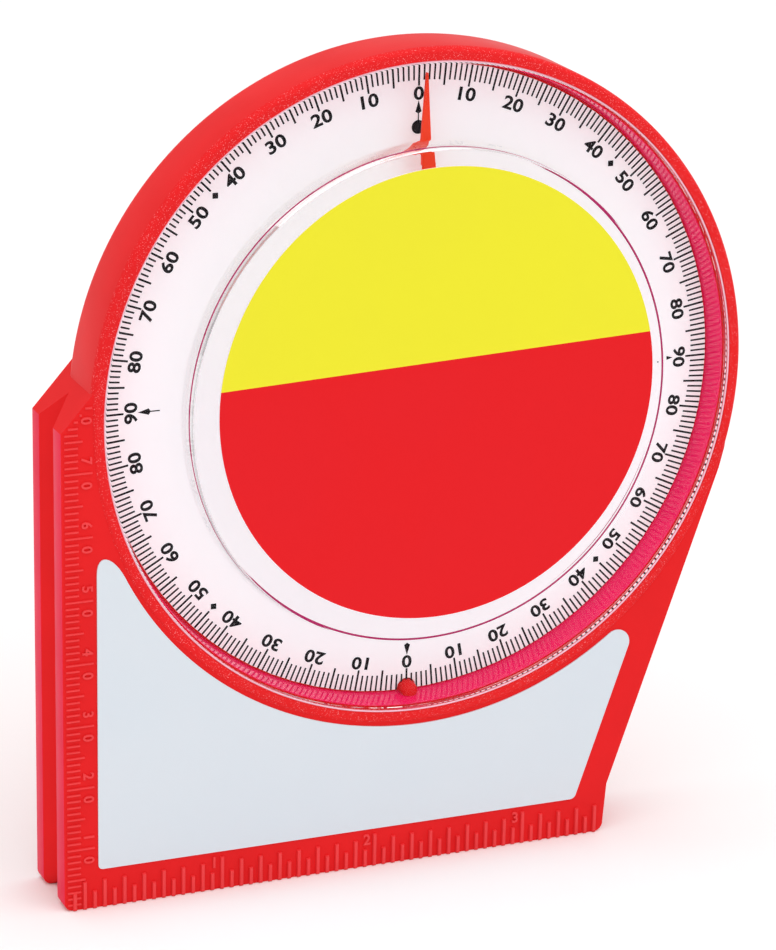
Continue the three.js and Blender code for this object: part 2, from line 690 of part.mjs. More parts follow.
place(body, 'housing', makeHousing(), redPlastic);
place(body, 'rear_cover', makeRearCover(), redPlastic);
place(body, 'base_cover', makeBaseCover(), redPlastic);
place(body, 'front_sheet', makeSheet(), greySheet);
[...ringScrews, ...baseScrews].forEach(([x, z], i) => {
  place(body, `cover_screw_${i + 1}`, makeScrew(), steel, [x, BODY_DEPTH, z]);
});

place(dial, 'dial_card', makeCard(), whiteCard);
place(dial, 'clear_cover', makeClearCover(), clearPlastic);
place(dial, 'cover_disc', disc(discR, raisedY - DISC_THICKNESS, raisedY, DRUM_SIDES), discPrint,
  [DISC_SHIFT_X, 0, DISC_SHIFT_Z]);
place(dial, 'front_bush', makeFrontBush(), brass);
place(dial, 'rear_bush', makeRearBush(), brass);
place(dial, 'pivot_axle', makeAxle(), steel);
place(dial, 'pointer', makePointer(), orangePlastic);
place(dial, 'counterweight', makeCounterweight(), zinc);
RIVET_RADII.forEach((radius, i) => {
  place(dial, `weight_rivet_${i + 1}`, makeRivet(), brass, [0, 0, -radius]);
});
place(dial, 'front_washer', makeWasher(hubFrontY - WASHER_THICKNESS), nylon);
place(dial, 'rear_washer', makeWasher(hubBackY), nylon);

// Base magnets in a row under their steel strip, a little inside the base edges.
const stripBottomZ = MAGNET_SLOT_TOP - STRIP_THICKNESS;
const magnetBottomZ = stripBottomZ - MAGNET_THICKNESS;
const magnetFront = grooveMidY - MAGNET_SLOT_WIDTH / 2 + MAGNET_CLEAR;
const magnetBack = grooveMidY + MAGNET_SLOT_WIDTH / 2 - MAGNET_CLEAR;
const rowStart = slotStart + MAGNET_CLEAR;
place(body, 'magnet_strip', block(rowStart, slotEnd - MAGNET_CLEAR, magnetFront, magnetBack,
  stripBottomZ, MAGNET_SLOT_TOP), steel);
for (let i = 0; i < MAGNET_COUNT; i += 1) {
  const start = rowStart + i * (magnetLength + MAGNET_SPACE);
  place(body, `base_magnet_${i + 1}`, block(start, start + magnetLength, magnetFront, magnetBack,
    magnetBottomZ, stripBottomZ), ferrite);
}

// The origin is under the middle of the whole object, on the surface it stands on.
const frontY = raisedY - DISC_THICKNESS;
body.position.set(-(dialX + DRUM_R) / 2, -(frontY + BODY_DEPTH) / 2, 0);

export default object;
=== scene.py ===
# %% [markdown]
# # A magnetic angle finder
# This hand tool is set on a surface and a weighted pointer shows the surface's tilt on a round card.
# The body is one red moulding with a drum, a bezel and two straight flanged edges with raised rules.
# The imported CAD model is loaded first, and each piece is then dressed or made again around it.

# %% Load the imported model
import math

import bmesh
import bpy
from mathutils import Matrix, Vector


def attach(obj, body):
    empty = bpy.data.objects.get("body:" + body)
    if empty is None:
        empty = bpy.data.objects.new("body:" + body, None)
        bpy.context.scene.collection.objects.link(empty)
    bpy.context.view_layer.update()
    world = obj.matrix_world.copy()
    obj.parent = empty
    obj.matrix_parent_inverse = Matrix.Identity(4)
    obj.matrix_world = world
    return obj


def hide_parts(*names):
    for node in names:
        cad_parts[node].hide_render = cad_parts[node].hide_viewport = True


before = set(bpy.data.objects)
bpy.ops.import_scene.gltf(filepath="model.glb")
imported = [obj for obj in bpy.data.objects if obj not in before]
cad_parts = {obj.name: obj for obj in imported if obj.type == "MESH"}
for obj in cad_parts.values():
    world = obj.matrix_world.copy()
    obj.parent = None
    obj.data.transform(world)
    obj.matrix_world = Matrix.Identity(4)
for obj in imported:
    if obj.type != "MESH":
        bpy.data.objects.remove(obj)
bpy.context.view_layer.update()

# %% [markdown]
# ## Measures
# The tool is drawn in millimetres from its own edges: X from the left edge, Y from the flange face
# back into the body, Z up from the base. One matrix then takes every finished mesh into the packed
# model's metres, so each number here can be read off the real tool with a caliper.

# %% Sizes of the tool, in millimetres
DRUM_RADIUS = 53.4
DIAL_X, DIAL_Z = 58.0, 76.7
BODY_DEPTH = 13.8
BASE_WIDTH = 90.5
KINK_X, KINK_Z = 91.0, 8.0
SHOULDER_RISE, SHOULDER_BASE_Z = 7.7, 76.3
SHOULDER_RADIUS = 51.4
FRONT_FLANGE, REAR_FLANGE = 3.6, 10.6
ORIGIN_X, ORIGIN_Y = 55.7, 4.6
FULL_TURN = 2 * math.pi
RIGHT_ANGLE = math.pi / 2
ROUND_STEPS = 256

TO_FRAME = Matrix.Scale(0.001, 4) @ Matrix.Translation((-ORIGIN_X, -ORIGIN_Y, 0))
AT_DIAL = Matrix.Translation((DIAL_X, 0, DIAL_Z))
dial_pivot = TO_FRAME @ Vector((DIAL_X, 0, DIAL_Z))
print("dial centre in the frame:", [round(value, 4) for value in dial_pivot])

# %% [markdown]
# ## The photograph's camera
# The tool was shot from the left of centre and a little above, through a long lens. A camera nudged by
# eye would be off by a few degrees, so this one is placed from the rules and the dial, whose spacings
# are known, and the render has the same view.

# %% Camera
camera_data = bpy.data.cameras.new("photo_camera")
camera_data.sensor_fit = "HORIZONTAL"
camera_data.sensor_width = 36
camera_data.lens = 177.225
camera_data.clip_start = 0.02
camera_data.clip_end = 20
camera = bpy.data.objects.new("photo_camera", camera_data)
bpy.context.scene.collection.objects.link(camera)
CAMERA_PLACE = (-0.217086, -0.512328, 0.247594)
yaw, pitch, roll = (math.radians(angle) for angle in (22.7921, 18.3957, 1.1222))
forward = Vector((math.sin(yaw) * math.cos(pitch), math.cos(yaw) * math.cos(pitch), -math.sin(pitch)))
level = Vector((math.cos(yaw), -math.sin(yaw), 0))
upright = level.cross(forward)
camera_right = level * math.cos(roll) + upright * math.sin(roll)
camera_up = upright * math.cos(roll) - level * math.sin(roll)
turn = Matrix((camera_right, camera_up, -forward)).transposed()
camera.matrix_world = Matrix.Translation(CAMERA_PLACE) @ turn.to_4x4()
bpy.context.scene.camera = camera
print("camera distance in m:", round((camera.matrix_world.translation - dial_pivot).length, 3))

# %% [markdown]
# ## Shader arithmetic
# A procedural finish is a small formula on the place of each point. The class below wraps a node's
# socket so that such formulas are written as plain Python expressions, and one method adds any node.

# %% Sockets that add and multiply
class Wire:
    """An output socket that builds Math nodes when it is used in an expression."""

    def __init__(self, finish, socket):
        self.finish, self.socket = finish, socket

    def combine(self, operation, first, second):
        return self.finish.node("ShaderNodeMath", {"operation": operation}, {0: first, 1: second})

    def __add__(self, other):
        return self.combine("ADD", self, other)

    def __mul__(self, other):
        return self.combine("MULTIPLY", self, other)


class Finish:
    """A material with the nodes that make up its look."""

    def __init__(self, name):
        self.material = bpy.data.materials.new(name)
        self.material.use_nodes = True
        self.tree = self.material.node_tree
        self.tree.nodes.clear()
        self.output = self.tree.nodes.new("ShaderNodeOutputMaterial")

    def node(self, kind, settings=None, values=None, output=0):
        made = self.tree.nodes.new(kind)
        for name, value in (settings or {}).items():
            setattr(made, name, value)
        for name, value in (values or {}).items():
            socket = made.inputs[name]
            if isinstance(value, Wire):
                self.tree.links.new(value.socket, socket)
            elif socket.type == "RGBA" and len(value) == 3:
                socket.default_value = (*value, 1)
            else:
                socket.default_value = value
        return Wire(self, made.outputs[output])

    def noise(self, scale, detail=2.0, roughness=0.5):
        place = self.node("ShaderNodeTexCoord", output="Object")
        return self.node("ShaderNodeTexNoise", None,
                         {"Vector": place, "Scale": scale, "Detail": detail, "Roughness": roughness})

    def ramp(self, value, low, high):
        """A value taken to 0 at its low end and to 1 at its high end."""
        return self.node("ShaderNodeMapRange", {"clamp": True},
                         {"Value": value, "From Min": low, "From Max": high, "To Min": 0.0, "To Max": 1.0})

    def blend_colour(self, share, first, second):
        mix = self.tree.nodes.new("ShaderNodeMix")
        mix.data_type = "RGBA"
        for index, value in ((0, share), (6, first), (7, second)):
            if isinstance(value, Wire):
                self.tree.links.new(value.socket, mix.inputs[index])
            else:
                mix.inputs[index].default_value = (*value, 1) if index else value
        return Wire(self, mix.outputs[2])

    def bump(self, height, strength, distance):
        inputs = {"Height": height, "Strength": strength, "Distance": distance}
        return self.node("ShaderNodeBump", None, inputs)

    def surface(self, values):
        return self.node("ShaderNodeBsdfPrincipled", None, values)

    def let_light_through(self, shader, share=1.0, tint=(1.0, 1.0, 1.0)):
        """The shader for what is seen, and a clear window for that share of shadow and diffuse rays."""
        window = self.node("ShaderNodeBsdfTransparent", None, {"Color": tint})
        shadow = self.node("ShaderNodeLightPath", output="Is Shadow Ray")
        diffuse = self.node("ShaderNodeLightPath", output="Is Diffuse Ray")
        passes = shadow.combine("MAXIMUM", shadow, diffuse) * share
        return self.node("ShaderNodeMixShader", None, {0: passes, 1: shader, 2: window})

    def done(self, shader):
        self.tree.links.new(shader.socket, self.output.inputs["Surface"])
        return self.material


print("shader helpers ready")

# %% [markdown]
# ## Red moulding
# The body is ABS with a fine moulded grain. A picture of grain would repeat and blur up close, so the
# grain is a bump from small noise, and the gloss varies a little, as on a moulding that has been
# handled. The bezel carries a coarser grain, and pale dots mixed into its colour are painted glints.
# The well's wall is polished and mirrors the card's marks; its red, tinted to magenta, is a painted sheen.

# %% Red plastic finishes
def red_plastic(name, colour, gloss, grain, painted_glints=0.0, shine=0.03):
    """Moulded red plastic. Gloss is its roughness, grain its bump, and the glints' share is how many pale
    painted glint dots are mixed into its colour.
    """
    finish = Finish(name)
    fine = finish.noise(3800.0, 3.0)
    broad = finish.noise(90.0, 2.0)
    dimmer = tuple(0.95 * part for part in colour)
    shade = finish.blend_colour(finish.ramp(broad, 0.35, 0.65), colour, dimmer)
    # Painted glints: pale dots mixed into the colour stand in for light glinting off the grain.
    if painted_glints:
        dots = finish.noise(6200.0, 1.0, 0.4)
        shade = finish.blend_colour(finish.ramp(dots, 0.64, 0.72) * painted_glints, shade, (0.95, 0.33, 0.35))
    rough = finish.ramp(broad, 0.2, 0.8) * 0.08 + gloss
    normal = finish.bump(fine, grain, 0.00004)
    return finish.done(finish.surface({"Base Color": shade, "Roughness": rough, "Normal": normal,
                                       "IOR": 1.5, "Specular IOR Level": shine}))


BODY_RED = (0.83, 0.02, 0.022)
red_body = red_plastic("red_body_plastic", BODY_RED, 0.28, 0.25)
# The bezel's pale dots are painted glints.
red_bezel = red_plastic("red_bezel_grain", BODY_RED, 0.3, 0.5, painted_glints=0.6)
# The well's red is tinted to magenta: a painted sheen.
well_painted_sheen = red_plastic("red_well_painted_sheen", (0.99, 0.012, 0.13), 0.04, 0.0, shine=0.25)
# The lips' pinker red is a painted sheen on the left-facing faces.
lip_painted_sheen = red_plastic("red_lip_painted_sheen", (0.86, 0.022, 0.07), 0.3, 0.2)
# The ribs' red is paler than the body's: a painted highlight.
rib_painted_highlight = red_plastic("red_rib_painted_highlight", (0.88, 0.04, 0.045), 0.3, 0.1, shine=0.35)
red_cover = red_plastic("red_cover_grain", (0.78, 0.015, 0.02), 0.42, 0.7)
reds = (red_body, red_bezel, well_painted_sheen, lip_painted_sheen, rib_painted_highlight, red_cover)
print("red finishes:", [finish.name for finish in reds])

# %% [markdown]
# ## Card, ink and printed films
# Card and paper films scatter light softly, so they get a high roughness and a faint fibre or
# print mottle. Ink lies on the card as its own thin layer, which keeps every mark crisp. The film on
# the cover is thin, so part of the light goes on through it to the card. The white card has a faint
# painted glow, low in red, that brightens it as if more light fell on it and offsets the red bounce.

# %% Card, ink and film finishes
def printed_film(name, colour, rough, mottle, tint, shine=0.3, thin=0.0, painted_glow=0.0):
    """Paper, card, ink or film. Mottle is the share of tint, and thin the share of light let through."""
    finish = Finish(name)
    fibre = finish.noise(1500.0, 4.0, 0.6)
    cloud = finish.noise(45.0, 2.0)
    shade = finish.blend_colour(finish.ramp(cloud, 0.3, 0.7) * mottle, colour, tint)
    normal = finish.bump(fibre, 0.12, 0.00003)
    # A glow is painted light: emission that brightens the surface as if more light fell on it.
    film = finish.surface({"Base Color": shade, "Roughness": finish.ramp(fibre, 0.2, 0.8) * 0.06 + rough,
                           "Normal": normal, "Specular IOR Level": shine,
                           "Emission Color": (0.7, 1.0, 1.0), "Emission Strength": painted_glow})
    return finish.done(finish.let_light_through(film, thin) if thin else film)


DISC_THIN = 0.75
# The white card's glow, low in red, is painted light.
card_white = printed_film("white_card", (0.975, 0.97, 0.98), 0.6, 0.6, (0.97, 0.955, 0.975), 0.1, painted_glow=0.13)
ink_black = printed_film("black_ink", (0.012, 0.012, 0.014), 0.5, 0.5, (0.022, 0.02, 0.022), 0.03)
film_yellow = printed_film("yellow_film", (0.88, 0.82, 0.03), 0.38, 0.6, (0.86, 0.79, 0.035), 0.08,
                           DISC_THIN)
film_red = printed_film("red_film", (0.81, 0.012, 0.016), 0.38, 0.6, (0.79, 0.013, 0.02), 0.08, DISC_THIN)
film_back = printed_film("white_film_back", (0.95, 0.93, 0.95), 0.5, 0.5, (0.93, 0.9, 0.94), 0.1, DISC_THIN)
film_pale = printed_film("pale_film", (0.70, 0.76, 0.82), 0.34, 0.7, (0.73, 0.775, 0.825))
nylon = printed_film("nylon", (0.8, 0.8, 0.76), 0.45, 0.5, (0.76, 0.76, 0.73))
# The pale pink ring at the cover's rim is a painted highlight.
rim_painted_highlight = printed_film("rim_highlight_pink", (0.95, 0.56, 0.68), 0.25, 0.5, (0.95, 0.64, 0.74), 0.4)
# The magenta hairline ring in the step is painted refraction of the well's red.
painted_refraction_magenta = printed_film("refracted_magenta", (0.42, 0.02, 0.12), 0.4, 0.5, (0.55, 0.02, 0.15), 0.05)
print("film finishes ready")

# %% [markdown]
# ## Clear plastic
# The cover is polished acrylic. A plain see-through surface would be simpler, but it bends nothing, so
# this one refracts what lies behind the raised centre, as the real cover does. Shadow and diffuse
# rays pass straight through it, so the card below stays as bright as it is under a real window.

# %% Clear cover finish
clear = Finish("clear_acrylic")
scuff = clear.noise(260.0, 3.0)
glass = clear.surface({"Base Color": (1.0, 0.99, 0.998), "Roughness": clear.ramp(scuff, 0.45, 0.9) * 0.02,
                       "Transmission Weight": 1.0, "IOR": 1.4, "Specular Tint": (0.12, 0.12, 0.12)})
clear_plastic = clear.done(clear.let_light_through(glass, tint=(1.0, 0.985, 0.995)))
print("clear finish ready")

# %% [markdown]
# ## Pointer, metals and magnets
# The pointer is orange-red plastic. Turned brass, zinc and steel carry fine tool or rolling marks, and
# sintered magnets are dark and slightly grainy. One helper makes all four metals, because only their
# colour, their gloss and the size of the marks differ.

# %% Pointer, metal and magnet finishes
def metal(name, colour, rough, scale):
    finish = Finish(name)
    marks = finish.noise(scale, 3.0, 0.6)
    stain = finish.noise(300.0, 2.0)
    dimmer = tuple(0.86 * part for part in colour)
    shade = finish.blend_colour(finish.ramp(stain, 0.35, 0.75), colour, dimmer)
    return finish.done(finish.surface({"Base Color": shade, "Metallic": 1.0,
                                       "Roughness": finish.ramp(marks, 0.2, 0.8) * 0.14 + rough,
                                       "Normal": finish.bump(marks, 0.2, 0.00002)}))


pointer_orange = printed_film("pointer_orange", (0.95, 0.045, 0.01), 0.34, 0.5, (0.9, 0.065, 0.02), 0.15)
brass = metal("turned_brass", (0.80, 0.58, 0.24), 0.24, 2600.0)
steel = metal("bright_steel", (0.66, 0.67, 0.69), 0.22, 3200.0)
strip_steel = metal("rolled_steel", (0.52, 0.53, 0.55), 0.3, 1800.0)
zinc = metal("cast_zinc", (0.50, 0.51, 0.53), 0.4, 1400.0)
ferrite = Finish("ferrite")
ferrite_grain = ferrite.noise(2400.0, 4.0, 0.7)
specks = ferrite.ramp(ferrite_grain, 0.4, 0.75)
magnet_ferrite = ferrite.done(ferrite.surface({
    "Base Color": ferrite.blend_colour(specks, (0.03, 0.03, 0.033), (0.1, 0.1, 0.11)),
    "Roughness": ferrite.ramp(ferrite_grain, 0.3, 0.7) * 0.15 + 0.42,
    "Normal": ferrite.bump(ferrite_grain, 0.35, 0.00003)}))
print("pointer and metal finishes ready")

# %% [markdown]
# ## From a mesh to a piece
# Every new piece ends in the same way: doubles are merged, the faces are turned outwards, the mesh
# goes into the frame, the object rides on its body, and any CAD nodes it stands in for are hidden. Edges
# sharper than an angle stay crisp, and the rest shade as one smooth surface.

# %% Finishing helper
def as_piece(name, shape, finishes, body="body", nodes=(), sharp=32.0):
    bmesh.ops.remove_doubles(shape, verts=shape.verts, dist=0.0005)
    bmesh.ops.recalc_face_normals(shape, faces=shape.faces)
    bmesh.ops.transform(shape, matrix=TO_FRAME, verts=shape.verts)
    mesh = bpy.data.meshes.new(name)
    shape.to_mesh(mesh)
    shape.free()
    for finish in finishes:
        mesh.materials.append(finish)
    mesh.polygons.foreach_set("use_smooth", [True] * len(mesh.polygons))
    mesh.set_sharp_from_angle(angle=math.radians(sharp))
    piece = bpy.data.objects.new(name, mesh)
    bpy.context.scene.collection.objects.link(piece)
    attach(piece, body)
    if nodes:
        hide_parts(*nodes)
    size = [round(1000 * value, 2) for value in piece.dimensions]
    print(f"{name}: {len(mesh.polygons)} faces, {size} mm")


print("finishing helper ready")

# %% [markdown]
# ## Shapes from profiles
# Most of this tool is round, so a few points of a section are spun about the dial's axis. The rest is
# flat outlines with thickness. Three small helpers make both, in place of many stacked primitives.

# %% Profile helpers
def spin_profile(shape, profile, steps=ROUND_STEPS, closed=True):
    """A [radius, depth] profile turned once about the Y axis."""
    points = [shape.verts.new((radius, depth, 0)) for radius, depth in profile]
    pairs = list(zip(points, points[1:])) + ([(points[-1], points[0])] if closed else [])
    lines = [shape.edges.new(pair) for pair in pairs]
    bmesh.ops.spin(shape, geom=points + lines, cent=(0, 0, 0), axis=(0, 1, 0),
                   angle=FULL_TURN, steps=steps, use_merge=True)


def arc_points(centre, radius, start, end, steps):
    """Points on an arc, in degrees. Its two radii may differ, and one number stands for both."""
    wide, high = radius if isinstance(radius, tuple) else (radius, radius)
    angles = [math.radians(start + (end - start) * step / steps) for step in range(steps + 1)]
    return [(centre[0] + wide * math.cos(angle), centre[1] + high * math.sin(angle)) for angle in angles]


def move_made(shape, made, step):
    """Moves the points among the results of a bmesh operator, and returns them."""
    points = [item for item in made["geom"] if isinstance(item, bmesh.types.BMVert)]
    bmesh.ops.translate(shape, verts=points, vec=step)
    return points


print("profile helpers ready")

# %% [markdown]
# ## Drum and bezel
# The drum is a round shell: a rounded bezel, the seat for the clear cover, the drafted dial well,
# the card floor and the shallow recess for the rear cover. One profile turned once about the dial's
# axis gives all of it with no seams, which no stack of cylinders would.

# %% Drum shell
BEZEL_FRONT, BEZEL_ROUND, LIP_ROUND = -0.3, (0.9, 1.4), 0.12
POCKET_RADIUS = 51.4
WELL_MOUTH_RADIUS, WELL_RADIUS = 50.7, 50.2
SEAT_Y, CARD_Y, CARD_BACK, FLOOR_BACK = 1.9, 6.0, 6.5, 8.0
BUSH_BORE, BOSS_RADIUS, BOSS_BACK = 2.1, 4.6, FLOOR_BACK + 1.6
HOLLOW_RADIUS, COVER_SEAT_RADIUS, COVER_FRONT_Y = 48.0, 50.0, 11.4
BACK_RIM_RADIUS = 51.4
drum = bmesh.new()
drum_profile = [
    # The rounded bezel, its inner lip and the seat of the clear cover.
    *arc_points((DRUM_RADIUS - BEZEL_ROUND[0], BEZEL_FRONT + BEZEL_ROUND[1]), BEZEL_ROUND, 0, -90, 12),
    *arc_points((POCKET_RADIUS + LIP_ROUND, BEZEL_FRONT + LIP_ROUND), LIP_ROUND, -90, -180, 4),
    (POCKET_RADIUS, SEAT_Y),
    (WELL_MOUTH_RADIUS + 0.1, SEAT_Y),
    (WELL_MOUTH_RADIUS, SEAT_Y + 0.1),
    # The well's wall, the floor under the card and the boss that holds the rear bush.
    (WELL_RADIUS, CARD_Y),
    (WELL_RADIUS, CARD_BACK),
    (BUSH_BORE, CARD_BACK),
    (BUSH_BORE, BOSS_BACK),
    (BOSS_RADIUS, BOSS_BACK),
    (BOSS_RADIUS, FLOOR_BACK),
    # The hollow at the back, the rear cover's seat and the chamfered rim.
    (HOLLOW_RADIUS, FLOOR_BACK),
    (HOLLOW_RADIUS, COVER_FRONT_Y),
    (COVER_SEAT_RADIUS, COVER_FRONT_Y),
    (COVER_SEAT_RADIUS, BODY_DEPTH - 0.2),
    (COVER_SEAT_RADIUS + 0.2, BODY_DEPTH - 0.02),
    (BACK_RIM_RADIUS - 0.35, BODY_DEPTH - 0.02),
    (BACK_RIM_RADIUS - 0.05, BODY_DEPTH - 0.12),
    (BACK_RIM_RADIUS + 0.15, BODY_DEPTH - 0.38),
    (DRUM_RADIUS - 0.35, 11.1),
    (DRUM_RADIUS - 0.12, 10.6),
    (DRUM_RADIUS, 9.9),
]
spin_profile(drum, drum_profile)
# Bezel faces take the red with painted glints, and the well's wall the magenta-tinted red, a painted sheen.
for face in drum.faces:
    middle = face.calc_center_median()
    reach = math.hypot(middle.x, middle.z)
    if middle.y < 1.0 and reach > POCKET_RADIUS:
        face.material_index = 1
    elif SEAT_Y <= middle.y < CARD_BACK and WELL_RADIUS - 0.1 < reach < POCKET_RADIUS:
        face.material_index = 2
bmesh.ops.transform(drum, matrix=AT_DIAL, verts=drum.verts)
as_piece("drum_shell", drum, [red_body, red_bezel, well_painted_sheen], nodes=["housing"])

# %% [markdown]
# ## Flanged base
# The base is the straight-edged half of the body. Its left side is a V groove and its underside a V
# cut short by a flat floor, both made so that the edge seats on round bar. A boolean could cut the
# grooves, but it leaves ragged meshes. So the outline is drawn once for each of seven depths, with the
# side and bottom points drawn in where the grooves lie.

# %% Base outline at one depth
dial = Vector((DIAL_X, DIAL_Z))
kink_point = Vector((KINK_X, KINK_Z))
from_dial = kink_point - dial
tangent_angle = math.atan2(from_dial.y, from_dial.x) + math.acos(DRUM_RADIUS / from_dial.length)
tangent_point = dial + DRUM_RADIUS * Vector((math.cos(tangent_angle), math.sin(tangent_angle)))
shoulder_reach = math.sqrt(SHOULDER_RADIUS ** 2 - SHOULDER_RISE ** 2)
shoulder_top = Vector((DIAL_X - shoulder_reach, DIAL_Z + SHOULDER_RISE))
shoulder_slope = (shoulder_top.y - SHOULDER_BASE_Z) / shoulder_top.x
FRONT_ARC, REAR_ARC = 52.0, 51.1
FRONT_TOP_X, ARC_END_DROP = 6.9, 1.6
CORNER_RADIUS = 1.4
FADE_TURN = 14


def base_outline(side_inset, bottom_inset, hidden_arc):
    """The base's outline, with its left side and its bottom drawn in and its top hidden in the drum."""
    low_left = (side_inset + CORNER_RADIUS, bottom_inset + CORNER_RADIUS)
    low_right_x = BASE_WIDTH + (KINK_X - BASE_WIDTH) * bottom_inset / KINK_Z
    low_right = (low_right_x - CORNER_RADIUS, bottom_inset + CORNER_RADIUS)
    points = arc_points(low_left, CORNER_RADIUS, 180, 270, 6)
    points += arc_points(low_right, CORNER_RADIUS, 270, 360, 6)
    points += [tuple(kink_point), tuple(tangent_point)]
    first = math.degrees(tangent_angle)
    last = -180 - math.degrees(math.asin((SHOULDER_RISE - ARC_END_DROP) / hidden_arc))
    for share in (0.25, 0.5, 0.75):
        radius = DRUM_RADIUS - (DRUM_RADIUS - hidden_arc) * share ** 1.5
        points += arc_points(dial, radius, first + FADE_TURN * share, first, 1)[:1]
    points += arc_points(dial, hidden_arc, first + FADE_TURN, last, 96)
    top_x = FRONT_TOP_X if hidden_arc == FRONT_ARC else shoulder_top.x
    points += [(x, SHOULDER_BASE_Z + x * shoulder_slope) for x in (top_x, side_inset)]
    return points


print("base outline points:", len(base_outline(0, 0, FRONT_ARC)))

# %% [markdown]
# ## V grooves
# The real grooves come from the mould's own sides. Here the front outline is extruded back one layer
# at a time, and each layer's points are set to the outline of their depth, so both grooves run clean
# round the corners.

# %% Base body with its two V grooves
SIDE_GROOVE_DEPTH, BASE_GROOVE_DEPTH = 3.6, 1.6
GROOVE_MIDDLE = (FRONT_FLANGE + REAR_FLANGE) / 2
SLOT_FRONT, SLOT_BACK = 5.3, 8.9
MAGNET_SLOT_START, MAGNET_SLOT_END, MAGNET_SLOT_TOP = 5.85, 84.65, 4.0
half_side = SIDE_GROOVE_DEPTH * (SLOT_FRONT - FRONT_FLANGE) / (GROOVE_MIDDLE - FRONT_FLANGE)
layers_behind = [
    (FRONT_FLANGE, 0, 0, FRONT_ARC),
    (SLOT_FRONT, half_side, BASE_GROOVE_DEPTH, REAR_ARC),
    (GROOVE_MIDDLE, SIDE_GROOVE_DEPTH, BASE_GROOVE_DEPTH, REAR_ARC),
    (SLOT_BACK, half_side, BASE_GROOVE_DEPTH, REAR_ARC),
    (REAR_FLANGE, 0, 0, REAR_ARC),
    (BODY_DEPTH, 0, 0, REAR_ARC),
]
base = bmesh.new()
loop = [base.verts.new((x, 0, z)) for x, z in base_outline(0, 0, FRONT_ARC)]
ring = [base.edges.new(pair) for pair in zip(loop, loop[1:] + loop[:1])]
base.faces.new(loop)
for depth, side_inset, bottom_inset, hidden_arc in layers_behind:
    new_points = set(move_made(base, bmesh.ops.extrude_edge_only(base, edges=ring), (0, 0, 0)))
    loop = [next(end for end in (edge.other_vert(point) for edge in point.link_edges) if end in new_points)
            for point in loop]
    for point, (x, z) in zip(loop, base_outline(side_inset, bottom_inset, hidden_arc)):
        point.co = (x, depth, z)
    ring = [base.edges.get(pair) for pair in zip(loop, loop[1:] + loop[:1])]
print("base body layers:", 1 + len(layers_behind), "faces so far:", len(base.faces))

# %% [markdown]
# ## Back recess and magnets' slot
# The back of the base is hollowed a little so that its cover lies flush, and the bottom groove's floor
# has a slot for the magnets. Both are faces pushed in, which keeps the mesh one closed skin.

# %% Recess for the base cover
COVER_INSET, COVER_CORNER, ARC_WALL, COVER_TOP_Z = 3.4, 1.4, 1.2, 46.0
recess_arc = DRUM_RADIUS + ARC_WALL
slope = (tangent_point - kink_point).normalized()
inward = Vector((-slope.y, slope.x))
on_slope = kink_point + inward * COVER_INSET
reach_back = (on_slope - dial).dot(slope)
chord = math.sqrt(recess_arc ** 2 - ((on_slope - dial).length_squared - reach_back ** 2))
slope_end = on_slope + slope * (-reach_back - chord)
slope_start = on_slope + slope * ((KINK_Z - on_slope.y) / slope.y)
start_angle = math.degrees(math.atan2(slope_end.y - DIAL_Z, slope_end.x - DIAL_X))
end_angle = -180 + math.degrees(math.asin((DIAL_Z - COVER_TOP_Z) / recess_arc))
corner_z, right_corner_x = COVER_INSET + COVER_CORNER, BASE_WIDTH - COVER_INSET - 1.2
recess_points = [
    *arc_points((COVER_INSET + COVER_CORNER, corner_z), COVER_CORNER, 180, 270, 5),
    *arc_points((right_corner_x, corner_z), COVER_CORNER, 270, 360, 5),
    tuple(slope_start),
    *arc_points(dial, recess_arc, start_angle, end_angle, 64),
    (COVER_INSET, COVER_TOP_Z),
]
rim = [base.verts.new((x, BODY_DEPTH, z)) for x, z in recess_points]
rim_ring = [base.edges.new(pair) for pair in zip(rim, rim[1:] + rim[:1])]
bmesh.ops.triangle_fill(base, edges=ring + rim_ring, use_beauty=True, use_dissolve=False)
made = bmesh.ops.extrude_edge_only(base, edges=rim_ring)
floor_points = set(move_made(base, made, (0, COVER_FRONT_Y - BODY_DEPTH, 0)))
floor_edges = [edge for edge in base.edges if floor_points.issuperset(edge.verts)]
bmesh.ops.edgeloop_fill(base, edges=floor_edges)
print("recess points:", len(recess_points))

# %% Slot for the magnets
NEAR = 0.01


def groove_floor(start, end):
    """The faces of the bottom groove's floor between two places along the base."""
    middles = [(face, face.calc_center_median()) for face in base.faces]
    return [face for face, middle in middles if abs(middle.z - BASE_GROOVE_DEPTH) < NEAR
            and SLOT_FRONT < middle.y < SLOT_BACK and start < middle.x < end]


for x, direction in ((MAGNET_SLOT_START, 1), (MAGNET_SLOT_END, -1)):
    area = groove_floor(-math.inf, math.inf)
    around = {part for face in area for part in (*face.edges, *face.verts)}
    bmesh.ops.bisect_plane(base, geom=area + list(around), plane_co=(x, 0, 0), plane_no=(direction, 0, 0))
slot_faces = groove_floor(MAGNET_SLOT_START, MAGNET_SLOT_END)
slot_height = MAGNET_SLOT_TOP - BASE_GROOVE_DEPTH
move_made(base, bmesh.ops.extrude_face_region(base, geom=slot_faces), (0, 0, slot_height))
bmesh.ops.delete(base, geom=[face for face in slot_faces if face.is_valid], context="FACES")
print("slot faces:", len(slot_faces), "open edges:", sum(edge.is_boundary for edge in base.edges))

# %% [markdown]
# ## Rounded edges
# A mould can't make a knife edge, and a render without rounds looks cut from card. The sharp edges of
# the flanges get a small bevel, which catches the light. Those hidden in the drum are left alone. The
# lips at the left then take a pinker copy of the red, a painted sheen for the light they catch.

